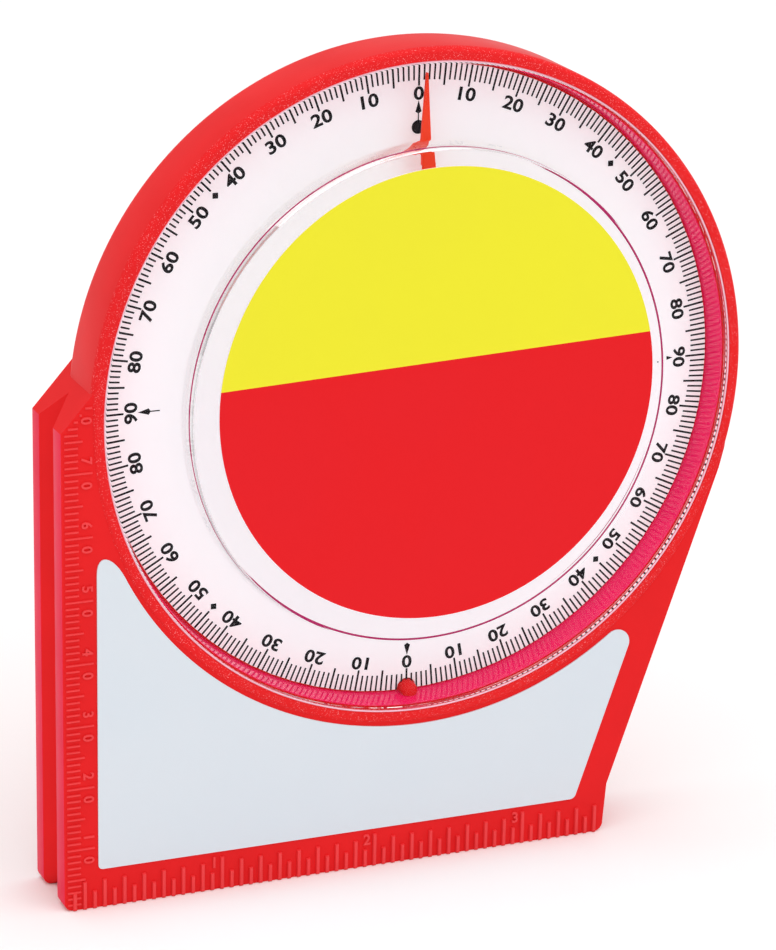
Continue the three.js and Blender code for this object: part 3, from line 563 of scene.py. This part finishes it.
# %% Rounding of the base's edges
EDGE_ROUND, SHARP_ANGLE = 0.4, math.radians(25)
bmesh.ops.recalc_face_normals(base, faces=base.faces)
sharp_edges = []
for edge in base.edges:
    if len(edge.link_faces) != 2 or edge.calc_face_angle(0) < SHARP_ANGLE:
        continue
    from_axis = min((Vector((point.co.x, point.co.z)) - dial).length for point in edge.verts)
    ends = [point.co.y for point in edge.verts]
    on_face = max(ends) < NEAR or min(ends) > BODY_DEPTH - NEAR
    on_lip = all(abs(end - FRONT_FLANGE) < NEAR or abs(end - REAR_FLANGE) < NEAR for end in ends)
    if from_axis > FRONT_ARC + 0.1 and (on_face or on_lip):
        sharp_edges.append(edge)
bmesh.ops.bevel(base, geom=sharp_edges, offset=EDGE_ROUND, offset_type="OFFSET", affect="EDGES", segments=3,
                profile=0.5, material=-1, clamp_overlap=True)
# Left-facing faces of the flanges take the pinker red, a painted sheen.
for face in base.faces:
    middle = face.calc_center_median()
    in_groove = FRONT_FLANGE + 0.3 < middle.y < REAR_FLANGE - 0.3
    if face.normal.x < -0.6 and middle.x < 0.5 and middle.z < SHOULDER_BASE_Z and not in_groove:
        face.material_index = 1
as_piece("flanged_base", base, [red_body, lip_painted_sheen], sharp=28.0)

# %% [markdown]
# ## Moulded rules
# The marks are low ribs moulded with the body: millimetres up the left side, sixteenths of an inch
# along the base. A bump map would look flat from the side, so each rib is a cube that is stretched to
# size and rounded on its front, and light runs along it as it does on the real one.

# %% Rule ribs
def add_rib(shape, low, high, rounding):
    """One raised mark between two corners, with its front edges rounded."""
    size = [top - bottom for bottom, top in zip(low, high)]
    middle = [(top + bottom) / 2 for bottom, top in zip(low, high)]
    place = Matrix.Translation(middle) @ Matrix.Diagonal((*size, 1))
    points = bmesh.ops.create_cube(shape, size=1.0, matrix=place)["verts"]
    edges = {edge for point in points for edge in point.link_edges
             if all(end.co.y < middle[1] for end in edge.verts)}
    bmesh.ops.bevel(shape, geom=list(edges), offset=rounding, offset_type="OFFSET", affect="EDGES",
                    segments=2, profile=0.5, material=-1, clamp_overlap=True)


INCH, ROOT_Y = 25.4, 0.25
MM_MARKS, MM_START, MM_PROUD, MM_HALF_WIDTH = 80, 0.5, 0.3, 0.15
INCH_MARKS, INCH_PROUD, INCH_HALF_WIDTH = 56, 0.5, 0.3
ribs = bmesh.new()
for mark in range(1, MM_MARKS + 1):
    length = 4.3 if mark % 10 == 0 else 2.8 if mark % 5 == 0 else 2.1
    start = max(0.0, (mark - SHOULDER_BASE_Z) / shoulder_slope) + MM_START
    end = max(MM_START + length, start + 0.3)
    add_rib(ribs, (start, -MM_PROUD, mark - MM_HALF_WIDTH), (end, ROOT_Y, mark + MM_HALF_WIDTH), 0.1)
for mark in range(1, INCH_MARKS + 1):
    length = 5.4 if mark % 16 == 0 else 4.6 if mark % 2 == 0 else 2.9
    x = mark * INCH / 16
    add_rib(ribs, (x - INCH_HALF_WIDTH, -INCH_PROUD, 0.05), (x + INCH_HALF_WIDTH, ROOT_Y, length), 0.22)
# The ribs take the paler red, a painted highlight.
as_piece("rule_ribs", ribs, [rib_painted_highlight])

# %% [markdown]
# ## Number shapes
# The rules' numbers are raised and the card's are printed. A picture of them would blur up close, so
# both are solid shapes here, made from Blender's own font. Each one is built once, kept and copied,
# which is far quicker than making the same curve again for every place.

# %% Numerals as solid shapes
numeral_meshes = {}


def numeral(text, height, thickness, weight, wide, rounding):
    """A number as a solid of that height, upright on the front face and centred on the origin."""
    key = (text, height, thickness, weight, wide, rounding)
    if key not in numeral_meshes:
        curve = bpy.data.curves.new("numeral", "FONT")
        curve.body, curve.size, curve.extrude, curve.resolution_u = text, 1.0, 0.5, 4
        curve.offset, curve.space_character, curve.bevel_depth = weight, 1.04, rounding
        holder = bpy.data.objects.new("numeral", curve)
        bpy.context.scene.collection.objects.link(holder)
        bpy.context.view_layer.update()
        mesh = bpy.data.meshes.new_from_object(holder)
        bpy.data.objects.remove(holder)
        across = [point.co.x for point in mesh.vertices]
        along = [point.co.y for point in mesh.vertices]
        scale = height / (max(along) - min(along))
        centred = Matrix.Translation((-(max(across) + min(across)) / 2, -(max(along) + min(along)) / 2, 0))
        sized = Matrix.Diagonal((scale * wide, scale, thickness, 1))
        mesh.transform(Matrix.Rotation(RIGHT_ANGLE, 4, "X") @ sized @ centred)
        numeral_meshes[key] = mesh
    return numeral_meshes[key]


def add_numeral(shape, text, height, thickness, place, weight=0.0, wide=1.0, rounding=0.0):
    copy = numeral(text, height, thickness, weight, wide, rounding).copy()
    copy.transform(place)
    shape.from_mesh(copy)
    bpy.data.meshes.remove(copy)


print("numeral helpers ready")

# %% [markdown]
# ## Numbers of the rules
# These stand out of the moulding like the ribs, and their shading and the ribs' paler red, a painted
# highlight, make them readable. So they take the ribs' finish and no ink. On the upright rule the
# digits are turned a quarter and set one above the other, as on the real one.

# %% Raised numbers of the rules
DIGIT_X, DIGIT_SHIFT, FONT_ROUND = 3.9, 1.9, 0.02
rule_numbers = bmesh.new()
quarter_turn = Matrix.Rotation(RIGHT_ANGLE, 4, "Y")
for tens in range(1, 9):
    # The eight of the last number has no room beside the shoulder, so only its nought is there.
    digits = [(str(tens), DIGIT_SHIFT)] if tens < 8 else []
    for digit, shift in (*digits, ("0", -DIGIT_SHIFT)):
        place = Matrix.Translation((DIGIT_X, 0.0, 10 * tens + shift)) @ quarter_turn
        add_numeral(rule_numbers, digit, 1.7, 0.5, place, rounding=FONT_ROUND)
for inch in range(1, 4):
    place = Matrix.Translation((INCH * inch - 1.3, 0.0, 4.6))
    add_numeral(rule_numbers, str(inch), 1.8, 0.6, place, rounding=FONT_ROUND)
as_piece("rule_numbers", rule_numbers, [rib_painted_highlight], sharp=40.0)

# %% [markdown]
# ## Dial pip
# A rounded peg at the bottom of the well keys the card, so it can't turn. A sphere on a cylinder would
# show a seam, so its soft bullet end and its side are one profile, spun.

# %% Pip
PIP_RADIUS, PIP_OFF_WALL = 1.3, 0.55
pip = bmesh.new()
bullet = [(0, 3.92), (0.6, 3.95), (0.95, 4.06), (1.18, 4.3), (PIP_RADIUS, 4.7), (PIP_RADIUS, CARD_BACK)]
spin_profile(pip, bullet, 48, closed=False)
bmesh.ops.holes_fill(pip, edges=[edge for edge in pip.edges if edge.is_boundary])
bmesh.ops.translate(pip, verts=pip.verts, vec=(DIAL_X, 0, DIAL_Z - WELL_RADIUS + PIP_OFF_WALL))
as_piece("dial_pip", pip, [red_body])

# %% [markdown]
# ## Degree marks
# The card is read in quadrants, 0 at top and bottom and 90 at the sides. A texture would blur the
# thin lines, so each mark is a sliver of ink on the card's face. Tens and fives reach further in.

# %% Ink on the card
INK = 0.03
INK_Y = CARD_Y - INK / 2
ink = bmesh.new()


def dial_place(angle, radius, depth=INK_Y):
    """A place on the dial, clockwise from the top, with its up side outwards."""
    return AT_DIAL @ Matrix.Rotation(math.radians(angle), 4, "Y") @ Matrix.Translation((0, depth, radius))


def add_ink_bar(angle, inner, outer, width):
    size = Matrix.Diagonal((width, INK, outer - inner, 1))
    bmesh.ops.create_cube(ink, size=1.0, matrix=dial_place(angle, (inner + outer) / 2) @ size)


def add_ink_patch(angle, points):
    """A filled outline of [across, radius] points on the card at one angle."""
    corners = [dial_place(angle, radius) @ Vector((across, 0, 0)) for across, radius in points]
    patch = ink.faces.new([ink.verts.new(corner) for corner in corners])
    move_made(ink, bmesh.ops.extrude_face_region(ink, geom=[patch]), (0, -INK / 2, 0))


print("ink helpers ready, ink thickness in mm:", INK)

# %% Marks, numbers, diamonds, arrows and dot
MARK_OUTER, MARK_INNER, FIFTH_INNER, NUMBER_RADIUS = 49.86, 47.35, 46.5, 45.35
DIAMOND_HALF, DIAMOND_RADIUS, DOT_HALF, DOT_RADIUS = 0.62, 45.5, 1.06, 40.2
for degree in range(360):
    fifth = degree % 5 == 0
    add_ink_bar(degree, FIFTH_INNER if fifth else MARK_INNER, MARK_OUTER, 0.31 if fifth else 0.27)
for degree in range(0, 360, 10):
    reading = degree % 180
    reading = reading if reading <= 90 else 180 - reading
    add_numeral(ink, str(reading), 2.1, INK, dial_place(degree, NUMBER_RADIUS), weight=0.028, wide=1.2)
for degree in (45, 135, 225, 315):
    add_ink_patch(degree, [(DIAMOND_HALF, DIAMOND_RADIUS), (0, DIAMOND_RADIUS + DIAMOND_HALF),
                           (-DIAMOND_HALF, DIAMOND_RADIUS), (0, DIAMOND_RADIUS - DIAMOND_HALF)])
ARROW = [(0, 44.25), (-0.5, 42.55), (-0.09, 42.3), (-0.09, 40.8), (0.09, 40.8), (0.09, 42.3), (0.5, 42.55)]
for degree in (0, 90, 180, 270):
    add_ink_patch(degree, ARROW)
add_ink_patch(0, arc_points((0, DOT_RADIUS), DOT_HALF, 0, 360, 40)[:-1])
as_piece("degree_marks", ink, [ink_black], sharp=60.0)

# %% [markdown]
# ## Clear cover
# The cover is a turned form as well: a flat rim that drops into the bezel, a drafted step and a
# raised flat centre that is hollow behind. A plain disc with a material would be less work, but the
# small rounds on the step carry the bright rings, so they are points of one spun profile.

# %% Clear cover
LENS_FRONT, LENS_BACK, LENS_RADIUS = -4.4, -2.8, 51.1
SOCKET_RADIUS, SOCKET_END = 3.2, -0.4
cover = bmesh.new()
spin_profile(cover, [
    # The raised centre and its chamfered edge.
    (0, LENS_FRONT), (36.95, LENS_FRONT), (37.0, LENS_FRONT), (37.16, -4.37), (37.3, -4.31),
    (37.34, -4.3), (38.45, -3.9), (38.5, -3.88), (38.62, -3.81), (38.7, -3.66), (38.71, -3.6),
    # The leaning wall of the step, and the flat rim.
    (38.87, -2.0), (39.36, -0.22), (39.4, -0.12), (39.48, -0.03), (39.6, 0), (39.65, 0),
    (50.9, 0), *arc_points((50.95, 0.15), 0.15, -90, 0, 5), (LENS_RADIUS, 0.2),
    (LENS_RADIUS, SEAT_Y - 0.1), (51.0, SEAT_Y - 0.02),
    # The hollow behind the centre, and the boss that holds the front bush.
    (33.1, SEAT_Y - 0.02), (33.0, SEAT_Y - 0.12), (32.9, -2.7), (32.8, LENS_BACK),
    (SOCKET_RADIUS, LENS_BACK), (SOCKET_RADIUS, SOCKET_END), (BUSH_BORE, SOCKET_END),
    (BUSH_BORE, -3.2), (0, -3.2),
], closed=False)
bmesh.ops.transform(cover, matrix=AT_DIAL, verts=cover.verts)
as_piece("clear_cover_lens", cover, [clear_plastic], nodes=["clear_cover"], sharp=30.0)

# %% [markdown]
# ## Painted rim highlight and refraction line
# A thin pale pink ring fills the gap round the cover's rim and paints its edge's highlight. The step's
# inner corner also shows as a fine magenta line, because the plastic there bends the well's red. Few
# light paths find that bend, so that bent light is painted as a hairline magenta ring inside the step.


# %% Painted rim highlight and painted refraction line
def add_ring(shape, radius, depth, thick):
    """A thin round ring about the dial's axis."""
    spin_profile(shape, arc_points((radius, depth), thick, 0, 330, 11))
    bmesh.ops.transform(shape, matrix=AT_DIAL, verts=shape.verts)


LENS_EDGE_RADIUS, LENS_EDGE_THICK = 51.26, 0.14
LINE_RADIUS, LINE_DEPTH, LINE_THICK = 38.25, -1.5, 0.17
lens_edge_ring = bmesh.new()
# A pale pink ring in the gap at the cover's rim: a painted highlight.
add_ring(lens_edge_ring, LENS_EDGE_RADIUS, 0.0, LENS_EDGE_THICK)
as_piece("lens_edge_highlight_ring", lens_edge_ring, [rim_painted_highlight], sharp=60.0)
painted_refraction_line = bmesh.new()
# A magenta hairline ring inside the step: painted refraction of the well's red.
add_ring(painted_refraction_line, LINE_RADIUS, LINE_DEPTH, LINE_THICK)
as_piece("step_painted_refraction_line", painted_refraction_line, [painted_refraction_magenta], sharp=60.0)

# %% [markdown]
# ## Two-colour disc
# A printed film disc lies on the raised centre, a little off its middle. Its upper field is yellow and
# its lower field red. A colour ramp could split them, but the disc is cut along the split line, so the
# border of the two colours is a real edge that stays sharp in any export.

# %% Disc
DISC_RADIUS, DISC_FRONT, DISC_DEPTH = 35.4, -4.59, 0.18
DISC_SHIFT_X, DISC_SHIFT_Z = 0.4, 1.0
split_a, split_b = Vector((23.2, 81.72)), Vector((93.25, 84.6))
split_line = (split_b - split_a).normalized()
split_normal = Vector((-split_line.y, split_line.x))
disc = bmesh.new()
at_disc = AT_DIAL @ Matrix.Translation((DISC_SHIFT_X, DISC_FRONT, DISC_SHIFT_Z))
bmesh.ops.create_circle(disc, cap_ends=True, radius=DISC_RADIUS, segments=ROUND_STEPS,
                        matrix=at_disc @ Matrix.Rotation(RIGHT_ANGLE, 4, "X"))
bmesh.ops.bisect_plane(disc, geom=disc.verts[:] + disc.edges[:] + disc.faces[:],
                       plane_co=(split_a.x, 0, split_a.y), plane_no=(split_normal.x, 0, split_normal.y))
for face in disc.faces:
    middle = face.calc_center_median()
    face.material_index = 0 if (Vector((middle.x, middle.z)) - split_a).dot(split_normal) > 0 else 1
printed = set(disc.faces)
disc_rim = [edge for edge in disc.edges if edge.is_boundary]
move_made(disc, bmesh.ops.extrude_edge_only(disc, edges=disc_rim), (0, DISC_DEPTH, 0))
bmesh.ops.holes_fill(disc, edges=[edge for edge in disc.edges if edge.is_boundary])
for face in set(disc.faces) - printed:
    face.material_index = 2
as_piece("two_colour_disc", disc, [film_yellow, film_red, film_back], nodes=["cover_disc"])

# %% [markdown]
# ## Front sheet
# A pale film lies on the flange under the dial. It follows the base and leaves a band of red round
# the bezel. The arc could be cut from a rectangle, but its two tips are soft, so the outline is listed
# point by point and filled. It keeps its CAD outline, with a finer arc.

# %% Tips of the sheet
SHEET_LEFT, SHEET_BOTTOM, SHEET_INSET, SHEET_ARC, SHEET_CORNER = 5.4, 6.3, 4.9, 53.7, 0.8
SHEET_ROUND_TIP = 2.2
SHEET_TIP_DROP, SHEET_TIP_REACH, SHEET_SIDE_TOP, TIP_STEPS = 23.7, 3.9, 53.8, 12
# The right tip is a round that touches both the slope's side and the arc.
sheet_side = kink_point + inward * SHEET_INSET
low_right = sheet_side + slope * ((SHEET_BOTTOM - sheet_side.y) / slope.y)
to_round = low_right + inward * SHEET_ROUND_TIP - dial
along_slope = to_round.dot(slope)
half_chord = math.sqrt((SHEET_ARC + SHEET_ROUND_TIP) ** 2 - (to_round.length_squared - along_slope ** 2))
to_round += slope * (-along_slope - half_chord)
round_angle = math.degrees(math.atan2(to_round.y, to_round.x))
slope_angle = math.degrees(math.atan2(slope.y, slope.x))
# The left tip is a soft curve from the arc to the top of the left side.
tip_angle = -180 + math.degrees(math.asin(SHEET_TIP_DROP / SHEET_ARC))
tip_turn = math.radians(tip_angle)
tip = dial + SHEET_ARC * Vector((math.cos(tip_turn), math.sin(tip_turn)))
tip_reach = tip + SHEET_TIP_REACH * Vector((math.sin(tip_turn), -math.cos(tip_turn)))
side_top = Vector((SHEET_LEFT, SHEET_SIDE_TOP))
side_reach = Vector((SHEET_LEFT, SHEET_SIDE_TOP + SHEET_TIP_REACH))
tip_curve = []
for step in range(1, TIP_STEPS + 1):
    share = step / TIP_STEPS
    rest = 1 - share
    tip_curve.append(tuple(tip * rest ** 3 + tip_reach * 3 * share * rest ** 2
                           + side_reach * 3 * share ** 2 * rest + side_top * share ** 3))
print("sheet's arc in degrees:", round(round_angle, 2), "to", round(tip_angle, 2))


# %% Sheet
def rounded_turn(before, corner, after, steps=6):
    """Points on the soft curve that turns one side of the sheet into the next."""
    points = []
    for step in range(steps + 1):
        share = step / steps
        rest = 1 - share
        points.append(tuple(before * rest ** 2 + corner * 2 * share * rest + after * share ** 2))
    return points


SHEET_FRONT, SHEET_DEPTH = -0.2, 0.19
low_left = Vector((SHEET_LEFT, SHEET_BOTTOM))
sheet_points = (
    rounded_turn(low_left + Vector((0, SHEET_CORNER)), low_left, low_left + Vector((SHEET_CORNER, 0)))
    + rounded_turn(low_right - Vector((SHEET_CORNER, 0)), low_right, low_right + slope * SHEET_CORNER)
    + arc_points(dial + to_round, SHEET_ROUND_TIP, slope_angle - 90, round_angle + 180, 24)
    + arc_points(dial, SHEET_ARC, round_angle, tip_angle, 96)[1:]
    + tip_curve)
sheet = bmesh.new()
sheet.faces.new([sheet.verts.new((x, SHEET_FRONT, z)) for x, z in sheet_points])
move_made(sheet, bmesh.ops.extrude_face_region(sheet, geom=sheet.faces[:]), (0, SHEET_DEPTH, 0))
as_piece("pale_sheet_film", sheet, [film_pale], nodes=["front_sheet"])

# %% [markdown]
# ## Pointer
# The blade tapers to a fine tip. A stretched cube can't taper, so its outline is six points, given
# thickness and then bevelled. The hub is turned, and the tail below it carries the counterweight.

# %% Pointer
BLADE_TIP, TIP_HALF_WIDTH, TAPER, TAIL_END = 49.1, 0.15, 0.065, -19.0
BLADE_FRONT, BLADE_DEPTH, SQUARE_ANGLE = 2.75, 0.6, 1.0
HUB_BORE, HUB_RADIUS, HUB_FRONT, HUB_BACK, HUB_CHAMFER = 1.1, 4.0, 0.6, 5.5, 0.2
half_width = TIP_HALF_WIDTH + BLADE_TIP * TAPER
pointer = bmesh.new()
blade_points = [
    (half_width, TAIL_END), (half_width, 0), (TIP_HALF_WIDTH, BLADE_TIP),
    (-TIP_HALF_WIDTH, BLADE_TIP), (-half_width, 0), (-half_width, TAIL_END),
]
blade = pointer.faces.new([pointer.verts.new((x, BLADE_FRONT, z)) for x, z in blade_points])
move_made(pointer, bmesh.ops.extrude_face_region(pointer, geom=[blade]), (0, BLADE_DEPTH, 0))
bmesh.ops.recalc_face_normals(pointer, faces=pointer.faces)
square_edges = [edge for edge in pointer.edges if edge.calc_face_angle(0) > SQUARE_ANGLE]
bmesh.ops.bevel(pointer, geom=square_edges, offset=0.1, offset_type="OFFSET", affect="EDGES",
                segments=2, profile=0.5, material=-1, clamp_overlap=True)
spin_profile(pointer, [
    (HUB_BORE, HUB_FRONT), (HUB_RADIUS - HUB_CHAMFER, HUB_FRONT), (HUB_RADIUS, HUB_FRONT + HUB_CHAMFER),
    (HUB_RADIUS, HUB_BACK - HUB_CHAMFER), (HUB_RADIUS - HUB_CHAMFER, HUB_BACK), (HUB_BORE, HUB_BACK),
], 96)
bmesh.ops.transform(pointer, matrix=AT_DIAL, verts=pointer.verts)
as_piece("pointer_blade", pointer, [pointer_orange], body="pointer_unit",
         nodes=["pointer"])

# %% [markdown]
# ## Pieces kept from the CAD
# Screws, back covers, bushes, washers, the axle, the counterweight, rivets, the steel strip and the
# magnets are plain shapes that the CAD model has right already. Making them again would gain
# nothing, so they only get their finishes, and so does the card.

# %% Finishes on CAD nodes
KEPT = {
    "dial_card": card_white, "rear_cover": red_cover, "base_cover": red_cover,
    "front_bush": brass, "rear_bush": brass, "pivot_axle": steel, "counterweight": zinc,
    "weight_rivet_1": brass, "weight_rivet_2": brass, "front_washer": nylon, "rear_washer": nylon,
    "magnet_strip": strip_steel,
}
KEPT.update({f"cover_screw_{number}": steel for number in range(1, 6)})
KEPT.update({f"base_magnet_{number}": magnet_ferrite for number in range(1, 4)})
for name, finish in KEPT.items():
    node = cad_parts[name]
    node.data.materials.clear()
    node.data.materials.append(finish)
print("nodes dressed:", len(KEPT))

# %% [markdown]
# ## Floor
# The tool stands on a plain pale floor. A true white one would hide its contact shadow, so the floor
# is a little below white, and one large matt square is enough.

# %% Floor
FLOOR_REACH, FLOOR_DIM, FLOOR_BRIGHT = 4.0, (0.95, 0.95, 0.95), (0.97, 0.97, 0.97)
floor_finish = Finish("pale_floor")
floor_tone = floor_finish.noise(3.0, 2.0)
floor_shade = floor_finish.blend_colour(floor_finish.ramp(floor_tone, 0.3, 0.7), FLOOR_DIM, FLOOR_BRIGHT)
pale_floor = floor_finish.done(floor_finish.surface({"Base Color": floor_shade, "Roughness": 0.9}))
floor = bmesh.new()
bmesh.ops.create_grid(floor, x_segments=1, y_segments=1, size=FLOOR_REACH)
floor_mesh = bpy.data.meshes.new("floor")
floor.to_mesh(floor_mesh)
floor.free()
floor_mesh.materials.append(pale_floor)
floor_object = bpy.data.objects.new("floor", floor_mesh)
bpy.context.scene.collection.objects.link(floor_object)
print("floor reaches, in metres:", FLOOR_REACH)

# %% [markdown]
# ## Light
# The photograph has soft, even studio light. One lamp would throw hard shadows, so there is a broad
# panel above, one in front, one at the left, a wide soft sun and an even pale surround. The surround
# is white where it is seen and dimmer as a light, so that no horizon shows and no front is washed out.


# %% Lights and surround
def panel(name, place, target, size, power, colour):
    light_data = bpy.data.lights.new(name, "AREA")
    light_data.shape, light_data.size, light_data.size_y = "RECTANGLE", *size
    light_data.energy, light_data.color = power, colour
    light = bpy.data.objects.new(name, light_data)
    bpy.context.scene.collection.objects.link(light)
    aim = Vector(target) - Vector(place)
    light.matrix_world = Matrix.Translation(place) @ aim.to_track_quat("-Z", "Y").to_matrix().to_4x4()
    print(name, "power in W:", power)


TOOL_MIDDLE = (0, 0, 0.07)
SUN_STRENGTH, SUN_WIDTH, SUN_WAY = 1.35, math.radians(80), (-0.05, 0.22, -1.0)
SURROUND_AS_LIGHT, SURROUND_SEEN = 0.62, 1.0
panel("top_panel", (0.1, -0.2, 1.1), TOOL_MIDDLE, (1.4, 1.4), 1.2, (1, 1, 1))
panel("front_panel", (0.5, -1.1, 0.8), TOOL_MIDDLE, (1.0, 0.8), 1.0, (1, 1, 1))
panel("left_panel", (-1.0, 0.1, 0.5), TOOL_MIDDLE, (0.5, 0.9), 0.7, (1.0, 0.95, 0.97))
sky_data = bpy.data.lights.new("sky_sun", "SUN")
sky_data.energy, sky_data.angle = SUN_STRENGTH, SUN_WIDTH
sky = bpy.data.objects.new("sky_sun", sky_data)
bpy.context.scene.collection.objects.link(sky)
sky.matrix_world = Vector(SUN_WAY).to_track_quat("-Z", "Y").to_matrix().to_4x4()
world = bpy.data.worlds.new("studio")
world.use_nodes = True
studio_nodes = world.node_tree.nodes
surround = studio_nodes["Background"].inputs
surround["Color"].default_value = (1, 1, 1, 1)
seen = studio_nodes.new("ShaderNodeLightPath").outputs["Is Camera Ray"]
strength = studio_nodes.new("ShaderNodeMapRange")
strength.inputs["To Min"].default_value = SURROUND_AS_LIGHT
strength.inputs["To Max"].default_value = SURROUND_SEEN
world.node_tree.links.new(seen, strength.inputs["Value"])
world.node_tree.links.new(strength.outputs["Result"], surround["Strength"])
bpy.context.scene.world = world
bpy.context.scene.view_settings.view_transform = "Standard"
print("surround as light and as seen:", SURROUND_AS_LIGHT, SURROUND_SEEN)
